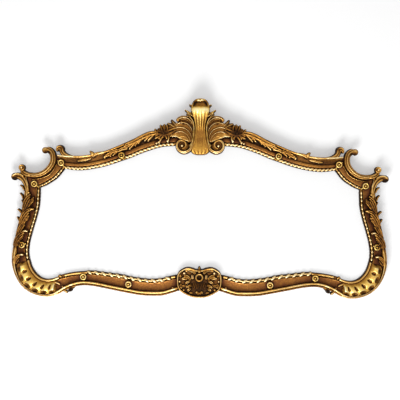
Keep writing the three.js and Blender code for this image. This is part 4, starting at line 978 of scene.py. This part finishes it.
def wound_edging(material):
    """Geometry Nodes tree that lays leaning strands along a line, over a thin core."""
    tree, given = sized_tree("wound edging", "Line", ROPE, "Edging")
    line = add(tree, "GeometryNodeMeshToCurve", {0: given["Line"]}).outputs[0]
    even = add(tree, "GeometryNodeResampleCurve", {"Curve": line, "Length": given["Pitch"]}, mode="LENGTH")
    tangent = add(tree, "GeometryNodeInputTangent").outputs[0]
    along = add(tree, "FunctionNodeAlignRotationToVector", {"Vector": tangent}, axis="X", pivot_axis="Y")
    lean = add(tree, "ShaderNodeCombineXYZ", {"Y": given["Lean"]}).outputs[0]
    turn = add(tree, "FunctionNodeEulerToRotation", {0: lean}).outputs[0]
    leaning = add(tree, "FunctionNodeRotateRotation", {0: along.outputs[0], 1: turn}, rotation_space="LOCAL")
    size = add(tree, "ShaderNodeCombineXYZ", {
        "X": given["Strand length"], "Y": given["Strand rise"], "Z": given["Strand width"]}).outputs[0]
    strand = add(tree, "GeometryNodeMeshUVSphere", {"Segments": 16, "Rings": 12, "Radius": 0.5}).outputs[0]
    strands = add(tree, "GeometryNodeInstanceOnPoints", {
        "Points": even.outputs[0], "Instance": strand, "Rotation": leaning.outputs[0], "Scale": size})
    circle = add(tree, "GeometryNodeCurvePrimitiveCircle", {"Resolution": 10, "Radius": given["Core"]})
    core = add(tree, "GeometryNodeCurveToMesh", {
        "Curve": line, "Profile Curve": circle.outputs[0], "Fill Caps": True}).outputs[0]
    real = add(tree, "GeometryNodeRealizeInstances", {0: strands.outputs[0]}).outputs[0]
    joined = add(tree, "GeometryNodeJoinGeometry")
    tree.links.new(real, joined.inputs[0])
    tree.links.new(core, joined.inputs[0])
    gilt = add(tree, "GeometryNodeSetMaterial", {"Geometry": joined.outputs[0], "Material": material})
    add(tree, "NodeGroupOutput", {0: gilt.outputs[0]})
    return tree


edging_tree = wound_edging(gold_leaf["gilding"])
for kind, sizes, rows in (
        ("top_rope", ROPE, between(TOP_STATIONS, *TOP_ROPE)),
        ("side_rope", BEADS, np.vstack([between(SHOULDER_STATIONS, *SHOULDER_ROPE)[:-1],
                                       between(SIDE_STATIONS, *SIDE_ROPE)])),
        ("ribbon", RIBBON, between(BOTTOM_STATIONS, *RIBBON_RUN))):
    run = evenly(across(rows, WOUND_INSET), 3)[0]
    mesh = bpy.data.meshes.new(f"{kind}_left_gilt")
    mesh.from_pydata(place(*run.T, ROPE_LEVEL), [(i, i + 1) for i in range(len(run) - 1)], [])
    gild_pair(worked(put(f"{kind}_left_gilt", mesh), edging_tree, sizes), kind)

# ---- Lacquer, painted shade and painted highlights -------------------------------------------
# The gold of all the pieces above is toned down with brown lacquer, once they are together. It stays
# dark in every hollow, partly lacquer and partly painted shade, and is rubbed off the high places, where
# the gold is pale and burnished and carries painted highlights. Painted shade also darkens the places
# under tips, beside leaves and along edges, and faces that turn sideways.

TONING_STEP = 1.5  # grid of the height map from which the lacquer, painted shade and painted highlights are worked out
MAP_MARGIN = 40  # of the height map, beyond the frame
HOLLOWS = (  # reach of a hollow, and darkening for each mm of its depth: lacquer and painted shade
    (1.8, 0.16), (4.5, 0.07), (11.0, 0.04),
)
GROUND_TONING = 0.46
HOLLOW_SHADING_AND_TONING = (0.26, 0.4)  # most that lacquer, painted shade and painted highlights change it, and how soon
GROOVE_SHADING_AND_TONING = (0.34, 0.34)  # and the same for grooves and edges
SIDEWAYS_SHADE = (0.25, 1.6)  # painted shade: most that is added on a face that turns sideways or away, and how soon
LOWEST = (SEAT - 3, 0.8)  # height under which the outer sides lie, and the darkest that lacquer and painted shade make them
SHADE_AND_LACQUER_POOLS = [  # [x, z, reach, darkening]: painted shade, partly lacquer that ran together
    [-24, -387, 20, 0.14], [-60, -373, 18, 0.14], [-84, -345, 14, 0.1], [-31, 245, 5, 0.2],
    [-30, 270, 5, 0.2], [-31, 294, 5, 0.2], [-22, 275, 4, 0.15], [-22, 300, 4, 0.2], [-27, 380, 10, 0.4],
    [-24, 391, 9, 0.5], [0, 377, 14, 0.14], [0, 266, 14, 0.16], [0, -347, 24, 0.28],
    [-30, -347, 12, 0.15], [0, 238, 16, 0.18], [-514, -364, 10, 0.5], [-84, 312, 5, 0.5],
    [-68, 303, 5, 0.4], [-145, 266, 28, 0.5], [-105, 271, 8, 0.4], [-118, 317, 8, 0.6],
    [-73, 214, 14, 0.15], [-745, 78, 8, 0.7], [-563, 188, 6, 0.6], [-551, 204, 7, 0.4],
    [-618, 187, 7, 0.6], [-605, 183, 6, 0.4], [0, -340, 60, 0.12], [-40, -330, 50, 0.1],
    [-520, -366, 14, 0.3], [-700, -20, 40, 0.1], [-730, -170, 50, 0.15], [-739, 79, 8, 0.8],
    [-706, 122, 5, 0.5], [-340, 190, 40, 0.15], [-230, 250, 50, 0.1], [-500, 155, 30, 0.15],
]
BURNISH_AND_HIGHLIGHTS = [  # [x, z, reach, how much paler]: painted highlights, partly gold rubbed bright
    [0, 352, 22, 0.6], [-24, 355, 14, 0.55], [0, 324, 14, 0.25], [-8, 393, 7, 0.5], [-28, -309, 6, 0.45],
    [-66, -319, 6, 0.5], [-47, -331, 6, 0.4], [-46, -350, 6, 0.4], [-44, -362, 6, 0.4], [-78, -328, 5, 0.4],
    [-60, -295, 6, 0.4], [-10, -372, 5, 0.3], [-34, -375, 6, 0.3], [-50, -280, 12, 0.3], [-82, -290, 8, 0.3],
    [-66, 188, 14, 0.5], [-92, 205, 10, 0.3], [-73, 214, 5, 0.8],
    [-60, 329, 10, 0.5], [-99, 263, 8, 0.5], [-92, 300, 8, 0.5], [-50, 345, 7, 0.4], [-130, 234, 6, 0.5],
    [-165, 229, 6, 0.4], [-620, 200, 12, 0.4], [-714, 125, 7, 0.5], [-697, -130, 8, 0.7],
    [-716, 125, 5, 0.5], [-712, -225, 8, 0.7], [-106, -357, 6, 0.6], [-532, -372, 5, 0.5], [-748, 90, 8, 0.3],
]
PIECE_BURNISH = {
    "rope": 0.22, "ribbon": -0.12, "rosette": 0.1, "acanthus": -0.24, "gadroon": 0.24, "foliage": 0.04,
    "crest_shell": 0.05, "cartouche": 0.03, "bottom_rail": -0.13, "shoulder": -0.06, "top_rail": -0.04,
    "side_rail": -0.02,
}
WEBS = (11, 17)  # stations of the fan's first and last web
WEB_SHADE_POOLS = ((0.3, 3.2, 0.3), (0.45, 3.2, 0.3))  # share of the fan's width, reach and darkening: painted shade in the slots, then the pockets
FLUTE_SHADE_POOLS = ((0.8, 6, 0.26),)


def marked(points, reach, amount):
    """Marks of one kind at plan points."""
    return [[x, z, reach, amount] for x, z in points]


# Painted highlights along the plain beads, partly gold rubbed bright.
for stations, shares in (
        (SIDE_STATIONS, CORNER_BEAD), (BOTTOM_STATIONS, END_BEAD), (BOTTOM_STATIONS, CENTRE_BEAD)):
    BURNISH_AND_HIGHLIGHTS += marked(across(between(stations, *shares), BEAD_INSET)[::4], 5, 0.2)
BURNISH_AND_HIGHLIGHTS += marked(between(TOP_STATIONS, 0.78, 1)[::4, 2:] - [0, 4], 5, 0.15)  # painted highlight on the outer bead by the curls
SHADE_AND_LACQUER_POOLS += marked(between(BOTTOM_STATIONS, 0.18, 0.95)[::4, 2:] + [0, 3.5], 4, 0.15)  # painted shade along the lower edge
for stations, shares in ((SHOULDER_STATIONS, (0, 1)), (SIDE_STATIONS, SIDE_ROPE)):
    SHADE_AND_LACQUER_POOLS += marked(across(between(stations, *shares), 1)[::3], 3.5, 0.35)  # painted shade along the sight edge under the beads
side_rows = between(SIDE_STATIONS)
# Painted shade in the fan's slots and pockets.
for station in np.arange(2 * WEBS[0], 2 * WEBS[1] + 1) / 2:
    row = side_rows[round(PER_SPAN * station)]
    for v, reach, amount in WEB_SHADE_POOLS if station % 1 == 0 else FLUTE_SHADE_POOLS:
        (x,), (z,) = across_fan(row, station, v)
        SHADE_AND_LACQUER_POOLS.append([x, z, reach, amount])
# Painted shadow on the band beside each acanthus bundle, below it and to its right.
for points in ACANTHUS_BUNDLES:
    line = curve(points)[::8]
    run = heading(line)
    below = line[:, :2] + np.stack([run[:, 1], -run[:, 0]], axis=1) * (line[:, 2:3] + 2)
    SHADE_AND_LACQUER_POOLS += marked(below, 5, 0.22)


def blurred(grid, reach):
    """The grid under a Gaussian of that reach in millimetres."""
    sigma = reach / TONING_STEP
    offsets = np.arange(-round(2.5 * sigma), round(2.5 * sigma) + 1)
    weights = np.exp(-offsets**2 / (2 * sigma**2))
    for axis in (0, 1):
        grid = sum(weight * np.roll(grid, offset, axis) for offset, weight in zip(offsets, weights))
    return grid


def limited(value, most, soon):
    """The value, levelling off at the most that it may be on either side of 0."""
    return most * np.tanh(value / soon)


def vertices_of(piece, what="position"):
    """Places or normals of a piece's vertices."""
    mesh = piece.data
    source = mesh.attributes["position"].data if what == "position" else mesh.vertex_normals
    values = np.empty(len(mesh.vertices) * 3, np.float32)
    source.foreach_get("vector", values)
    return values.reshape(-1, 3).astype(float)


low_x, _, low_z = cad_low
high_x, _, high_z = cad_high
margin = MAP_MARGIN * MM
step = TONING_STEP * MM
map_size = [round((high - low + 2 * margin) / step) for low, high in ((low_z, high_z), (low_x, high_x))]
level_map = np.full(map_size, -1.0)
shapes = [(piece, vertices_of(piece), vertices_of(piece, "normal")) for piece in carved]


def cell(points):
    """Rows and columns of the height map under some points."""
    return tuple(((points[:, k] - low + margin) / step).astype(int) for k, low in ((2, low_z), (0, low_x)))


for _, points, normals in shapes:
    seen = points[normals[:, 1] < -0.1]
    np.maximum.at(level_map, cell(seen), -seen[:, 1] / MM - BOARDS)
known = (level_map > 0).astype(float)
averages = [
    blurred(level_map * known, reach) / np.maximum(blurred(known, reach), 1e-6) for reach, _ in HOLLOWS]

for piece, points, normals in shapes:
    height = -points[:, 1] / MM - BOARDS
    place_in_map = cell(points)
    groove, nook, hollow = (
        amount * (average[place_in_map] - height) for average, (_, amount) in zip(averages, HOLLOWS))
    # Darker in hollows and paler on heights: partly lacquer, partly painted shade and painted highlights.
    toning = GROUND_TONING + limited(nook + hollow, *HOLLOW_SHADING_AND_TONING) + limited(groove, *GROOVE_SHADING_AND_TONING)
    own = next((amount for kind, amount in PIECE_BURNISH.items() if kind in piece.name), 0.0)
    burnish = np.full(len(points), own)
    x, z = np.abs(points[:, 0]) / MM, points[:, 2] / MM
    # Painted shade and pooled lacquer from the pools; painted highlights and rubbed gold from the bright
    # spots.
    for marks, total in ((SHADE_AND_LACQUER_POOLS, toning), (BURNISH_AND_HIGHLIGHTS, burnish)):
        for mark_x, mark_z, reach, amount in marks:
            total += amount * np.exp(-((x + mark_x) ** 2 + (z - mark_z) ** 2) / reach**2)
    # Painted shade on faces that turn sideways or away from the room.
    toning += SIDEWAYS_SHADE[0] * np.clip(1 + normals[:, 1] * SIDEWAYS_SHADE[1], 0, 1)
    toning = np.where(height < LOWEST[0], np.minimum(toning, LOWEST[1]), toning)
    for name, values in (("toning", toning), ("burnish", burnish)):
        attribute = piece.data.attributes.new(name, "FLOAT", "POINT")
        attribute.data.foreach_set("value", np.clip(values, -1, 1).astype(np.float32))

# ---- Mirror plate ----------------------------------------------------------------------------
# A plate of silvered glass, cut to the sight edge and held from behind. The frame's own solid has its
# true shape, so only its finish is given here: half mirror and half white, with hardly any haze.


def face(material, *names):
    """Gives the frame's own solids a better material."""
    for name in names:
        nodes[name].data.materials.clear()
        nodes[name].data.materials.append(material)


silver, *_ = finish("silvered plate glass", Base_Color=colour("FBFBFB"), Metallic=0.5, Roughness=0.015)
face(silver, "mirror_plate")

# ---- Backboards, packing and tongues ---------------------------------------------------------
# Three sawn pine boards close the back, with a strip of pressed felt behind the plate. Loose beech
# tongues hold the rails together and don't show.

def sawn(name, pale, dark, ring, across_axis, **sockets):
    """Sawn wood: year rings a given number of mm apart, pores of 1 mm and dust of 40 mm."""
    material, tree, shader, place_on = finish(name, **sockets)
    stretch = [1.0, 1.0, 1.0]
    stretch[across_axis] = 0.06
    along = add(tree, "ShaderNodeMapping", {"Vector": place_on, "Scale": tuple(stretch)}).outputs[0]
    warp = add(tree, "ShaderNodeTexNoise", {"Vector": along, "Scale": 9, "Detail": 2}).outputs["Fac"]
    grain = add(tree, "ShaderNodeTexNoise", {
        "Vector": along, "Scale": 1000 / ring, "Detail": 4, "Distortion": 0.6}).outputs["Fac"]
    pores = add(tree, "ShaderNodeTexNoise", {"Vector": along, "Scale": 1000, "Detail": 2}).outputs["Fac"]
    mixed = add(tree, "ShaderNodeMath", {0: warp, 1: grain}, operation="ADD").outputs[0]
    tint = ramp(tree, add(tree, "ShaderNodeMath", {0: mixed, 1: 0.5}, operation="MULTIPLY").outputs[0], [
        (0.36, dark), (0.5, pale), (0.62, dark)])
    dust = add(tree, "ShaderNodeMapRange", {0: pores, 1: 0.35, 2: 0.6, 3: 0.75, 4: 1}).outputs[0]
    whole = add(tree, "ShaderNodeMix", {0: dust, 6: colour(dark), 7: tint}, data_type="RGBA").outputs[2]
    tree.links.new(whole, shader.inputs["Base Color"])
    bump = add(tree, "ShaderNodeBump", {"Height": pores, "Strength": 0.4, "Distance": 0.0005})
    tree.links.new(bump.outputs[0], shader.inputs["Normal"])
    return material


face(sawn("aged sawn pine", "A87B4C", "71492A", 7, 2, Roughness=0.75), "backboard_middle")
face(sawn("darker aged sawn pine", "96693F", "603D21", 6, 2, Roughness=0.75),
     "backboard_left", "backboard_right")
beech = sawn("planed beech", "C79F6C", "A67C4A", 4, 2, Roughness=0.6)
face(beech, *(f"joint_tongue_{spot}_{side}" for spot in ("top", "middle", "bottom") for side in SIDES))

# Felt swallows the light: dark and matt, with a faint pale bloom at a glancing angle.
felt, tree, shader, place_on = finish("pressed wool felt", Roughness=0.95, Sheen_Weight=0.3)
fibres = add(tree, "ShaderNodeTexNoise", {"Vector": place_on, "Scale": 1400, "Detail": 5}).outputs["Fac"]
tree.links.new(ramp(tree, fibres, [(0.3, "2A2724"), (0.7, "4A4540")]), shader.inputs["Base Color"])
bump = add(tree, "ShaderNodeBump", {"Height": fibres, "Strength": 0.6, "Distance": 0.0005})
tree.links.new(bump.outputs[0], shader.inputs["Normal"])
face(felt, "plate_packing")

# ---- Screws ----------------------------------------------------------------------------------
# Slotted steel wood screws: six through the boards and two through each hanger strap. The steel is
# dulled in clouds of a few millimetres.

SCREW = {"Head radius": 4, "Head depth": 2, "Shank radius": 2, "Length": 14, "Slot": 1.1}
BOARD_SCREW_LENGTH = 20
BOARD_SCREW_INSET = 18  # from the sight edge
BOARD_SCREWS = {  # rail stations and share
    "middle_1": (TOP_STATIONS, 0), "middle_2": (BOTTOM_STATIONS, 0),
    "1": (TOP_STATIONS, 0.72), "2": (BOTTOM_STATIONS, 0.62),
}
STRAP_X = -683
STRAP_SCREWS = {"1": 3, "2": -13}  # z
STRAP_THICKNESS = 1.5
SCREW_CREASE = 30  # degrees


def metal(name, pale, dark, patch, **sockets):
    """Dulled metal, cloudy over a given number of mm."""
    material, tree, shader, place_on = finish(name, Metallic=1.0, **sockets)
    clouds = add(tree, "ShaderNodeTexNoise", {
        "Vector": place_on, "Scale": 1000 / patch, "Detail": 4}).outputs["Fac"]
    tree.links.new(ramp(tree, clouds, [(0.35, dark), (0.65, pale)]), shader.inputs["Base Color"])
    bump = add(tree, "ShaderNodeBump", {"Height": clouds, "Strength": 0.2, "Distance": 0.0003})
    tree.links.new(bump.outputs[0], shader.inputs["Normal"])
    return material


def screw_tree(material):
    """Geometry Nodes tree that drives a slotted screw towards the room at each point."""
    tree, given = sized_tree("wood screws", "Seats", SCREW, "Screws")
    head = add(tree, "GeometryNodeMeshCone", {
        "Vertices": 28, "Radius Top": given["Shank radius"], "Radius Bottom": given["Head radius"],
        "Depth": given["Head depth"]}).outputs[0]
    long = add(tree, "ShaderNodeMath", {0: given["Head radius"], 1: 3.0}, operation="MULTIPLY").outputs[0]
    slot_size = add(tree, "ShaderNodeCombineXYZ", {
        "X": long, "Y": given["Slot"], "Z": given["Slot"]}).outputs[0]
    slot = add(tree, "GeometryNodeMeshCube", {"Size": slot_size}).outputs[0]
    cut = add(tree, "GeometryNodeMeshBoolean", operation="DIFFERENCE")
    tree.links.new(head, cut.inputs["Mesh 1"])
    tree.links.new(slot, cut.inputs["Mesh 2"])
    tip = add(tree, "ShaderNodeMath", {0: given["Shank radius"], 1: 0.4}, operation="MULTIPLY").outputs[0]
    shank = add(tree, "GeometryNodeMeshCone", {
        "Vertices": 16, "Radius Top": tip, "Radius Bottom": given["Shank radius"], "Depth": given["Length"]})
    start = add(tree, "ShaderNodeMath", {0: given["Head depth"], 1: 0.9}, operation="MULTIPLY").outputs[0]
    forward = add(tree, "ShaderNodeCombineXYZ", {"Z": start}).outputs[0]
    shank = add(tree, "GeometryNodeTransform", {"Geometry": shank.outputs[0], "Translation": forward})
    screw = add(tree, "GeometryNodeJoinGeometry")
    tree.links.new(cut.outputs[0], screw.inputs[0])
    tree.links.new(shank.outputs[0], screw.inputs[0])
    driven = add(tree, "GeometryNodeTransform", {
        "Geometry": screw.outputs[0], "Rotation": (math.pi / 2, 0, 0)}).outputs[0]
    screws = add(tree, "GeometryNodeInstanceOnPoints", {"Points": given["Seats"], "Instance": driven})
    real = add(tree, "GeometryNodeRealizeInstances", {0: screws.outputs[0]})
    done = add(tree, "GeometryNodeSetMaterial", {"Geometry": real.outputs[0], "Material": material})
    add(tree, "NodeGroupOutput", {0: done.outputs[0]})
    return tree


screws_tree = screw_tree(metal("dulled steel", "9A9894", "5C5650", 3, Roughness=0.42))


def drive(node, x, z, height, length):
    """One screw in the place of its plain solid."""
    mesh = bpy.data.meshes.new(f"{node}_slotted")
    mesh.from_pydata(place(np.array([x]), z, height), [], [])
    screw = worked(put(mesh.name, mesh), screws_tree, {**SCREW, "Length": length})
    fit(screw, node)
    screw.data.set_sharp_from_angle(angle=math.radians(SCREW_CREASE))


for number, (stations, share) in BOARD_SCREWS.items():
    (x, z), = across(between(stations, share, share), BOARD_SCREW_INSET)
    places = {number: x} if "middle" in number else {f"{number}_left": x, f"{number}_right": -x}
    for name, place_x in places.items():
        drive(f"board_screw_{name}", place_x, z, -BOARDS, BOARD_SCREW_LENGTH)
for number, z in STRAP_SCREWS.items():
    for side, x in zip(SIDES, (STRAP_X, -STRAP_X)):
        seat = -STRAP_THICKNESS - SCREW["Head depth"]
        drive(f"strap_screw_{number}_{side}", x, z, seat, SCREW["Length"])

# ---- Hangers ---------------------------------------------------------------------------------
# A brass strap on the back of each stile, rolled at the top round a wire ring that swings on it. The
# brass has tarnished brown in patches and keeps a broad gleam.

RING_PIVOT = (38, -3.9)  # z, and height above the back of the rails
WIRE = 2.0  # radius
RING_HALF_WIDTH = 13.0
RING_DROP = 24.0  # from the pivot to the foot of the ring
RING_CORNER = 5.0

brass = metal("tarnished brass", "B08A45", "6A4C22", 8, Roughness=0.38)
face(brass, "hanger_strap_left", "hanger_strap_right")


def ring_line():
    """Middle line of the wire: straight through the knuckle, then a half circle below."""
    def arc(x, z, radius, start, end, count):
        turn = np.radians(np.linspace(start, end, count, endpoint=False))
        return np.stack([x + radius * np.cos(turn), z + radius * np.sin(turn)], axis=1)
    side = RING_HALF_WIDTH - RING_CORNER
    low = RING_HALF_WIDTH - RING_DROP
    straight = np.stack([np.linspace(-side, side, 12, endpoint=False), np.zeros(12)], axis=1)
    return np.vstack([straight, arc(side, -RING_CORNER, RING_CORNER, 90, 0, 10),
                      arc(0, low, RING_HALF_WIDTH, 0, -180, 40),
                      arc(-side, -RING_CORNER, RING_CORNER, 180, 90, 10)])


def wire_ring():
    """Shell of the ring, as a tube closed on itself."""
    line = ring_line() + [STRAP_X, RING_PIVOT[0]]
    run = np.roll(line, -1, axis=0) - np.roll(line, 1, axis=0)
    out = np.stack([-run[:, 1], run[:, 0]], axis=1) / np.linalg.norm(run, axis=1, keepdims=True)
    turn = np.linspace(0, 2 * math.pi, 16, endpoint=False)
    spots = line[:, None] + WIRE * np.cos(turn)[None, :, None] * out[:, None]
    points = place(spots[..., 0], spots[..., 1], RING_PIVOT[1] + WIRE * np.sin(turn)[None, :])
    count, around = points.shape[:2]
    k, i = np.meshgrid(np.arange(count), np.arange(around), indexing="ij")
    l, j = (k + 1) % count, (i + 1) % around
    quads = np.stack([k * around + i, k * around + j, l * around + j, l * around + i], -1).reshape(-1, 4)
    points = points.reshape(-1, 3)
    a, b, c = (points[quads[:, corner]] for corner in range(3))
    inside_out = np.einsum("ij,ij->", a, np.cross(b, c)) < 0
    return points, (quads[:, ::-1] if inside_out else quads).tolist()


ring = build("hanger_ring_left_wire", [wire_ring()])
for piece, side in ((ring, "left"), (mirrored(ring), "right")):
    piece.data.materials.append(brass)
    fit(piece, f"hanger_ring_{side}", body=f"ring_{side}")

# ---- Setting ---------------------------------------------------------------------------------
# The mirror hangs on a plain white wall over a pale floor. One large soft lamp stands low in front, so
# the shadows fall upwards, and the room is bright towards the viewer and greyer at the sides. The wall
# can be seen and lit through from behind, so that the back of the mirror shows.

ROOM = 4  # metres, half its width
FLOOR = -2.6
CEILING = 3
WALL = 0.001  # just behind the frame
NEAR, FAR = -5, 4  # ends of the floor
MIRRORED_FRONT, MIRRORED_SIDES = 1.0, 0.3  # how bright the room is in reflections
FILL = 0.62  # light from all round

scene = bpy.context.scene
scene.view_settings.view_transform = "Standard"


def sheet(name, corners, material):
    """A flat sheet of the setting, from its corners in metres."""
    mesh = bpy.data.meshes.new(name)
    mesh.from_pydata(corners, [], [(0, 1, 2, 3)])
    mesh.materials.append(material)
    panel = put(name, mesh)


def backdrop(name, glow, one_sided=False):
    """Matt white paint, lifted to white for the camera and in reflections but not on the object."""
    material, tree, shader, _ = finish(name, Base_Color=(0.86, 0.86, 0.86, 1), Roughness=1.0)
    path = add(tree, "ShaderNodeLightPath").outputs
    seen = path["Is Camera Ray"]
    for kind in ("Is Glossy Ray", "Is Transmission Ray"):
        seen = add(tree, "ShaderNodeMath", {0: seen, 1: path[kind]}, operation="MAXIMUM").outputs[0]
    lift = add(tree, "ShaderNodeMath", {0: seen, 1: glow}, operation="MULTIPLY").outputs[0]
    shader.inputs["Emission Color"].default_value = (1, 1, 1, 1)
    tree.links.new(lift, shader.inputs["Emission Strength"])
    if one_sided:
        open_to = add(tree, "ShaderNodeNewGeometry").outputs["Backfacing"]
        for kind in ("Is Diffuse Ray", "Is Shadow Ray"):
            open_to = add(tree, "ShaderNodeMath", {0: open_to, 1: path[kind]}, operation="MAXIMUM").outputs[0]
        clear = add(tree, "ShaderNodeBsdfTransparent").outputs[0]
        mixed = add(tree, "ShaderNodeMixShader", {0: open_to, 1: shader.outputs[0], 2: clear}).outputs[0]
        tree.links.new(mixed, tree.nodes["Material Output"].inputs["Surface"])
    return material


sheet("wall", [(-ROOM, WALL, FLOOR), (ROOM, WALL, FLOOR), (ROOM, WALL, CEILING), (-ROOM, WALL, CEILING)],
      backdrop("white wall paint", 0.24, one_sided=True))
sheet("floor", [(-ROOM, NEAR, FLOOR), (ROOM, NEAR, FLOOR), (ROOM, FAR, FLOOR), (-ROOM, FAR, FLOOR)],
      backdrop("pale floor", 0.3))

world = bpy.data.worlds.new("studio")
scene.world = world
world.use_nodes = True
tree = world.node_tree
tree.nodes.clear()
path = add(tree, "ShaderNodeLightPath").outputs
towards = add(tree, "ShaderNodeTexCoord").outputs["Generated"]
depth = add(tree, "ShaderNodeSeparateXYZ", {0: towards}).outputs["Y"]
mirrored_room = add(tree, "ShaderNodeMapRange", {
    0: depth, 1: -0.85, 2: -0.1, 3: MIRRORED_FRONT, 4: MIRRORED_SIDES}).outputs[0]
shown = add(tree, "ShaderNodeMix", {0: path["Is Glossy Ray"], 2: FILL, 3: mirrored_room}).outputs[0]
direct = add(tree, "ShaderNodeMath", {
    0: path["Is Camera Ray"], 1: path["Is Transmission Ray"]}, operation="MAXIMUM").outputs[0]
shown = add(tree, "ShaderNodeMix", {0: direct, 2: shown, 3: 1.0}).outputs[0]
light = add(tree, "ShaderNodeBackground", {"Color": (1, 1, 1, 1), "Strength": shown})
add(tree, "ShaderNodeOutputWorld", {"Surface": light.outputs[0]})


def aim(obj, target):
    """Turns a lamp towards a point."""
    run = np.array(target) - np.array(obj.location)
    obj.rotation_euler = (math.pi / 2 + math.atan2(run[2], math.hypot(run[0], run[1])), 0,
                          math.atan2(-run[0], run[1]))


lamp = bpy.data.lights.new("low soft lamp", "AREA")
lamp.shape = "DISK"
lamp.size = 1.4
lamp.energy = 48
lamp_stand = put("low soft lamp", lamp)
lamp_stand.location = (-0.25, -1.6, -1.65)
aim(lamp_stand, (0, 0, 0))

lens = bpy.data.cameras.new("camera")
lens.lens = 67.5
lens.sensor_width = 36
camera = put("camera", lens)
camera.location = (0.0008, -3.045, -0.002)
camera.rotation_euler = (math.pi / 2, math.radians(-0.4), 0)  # the photograph leans by 0.4 degrees
scene.camera = camera
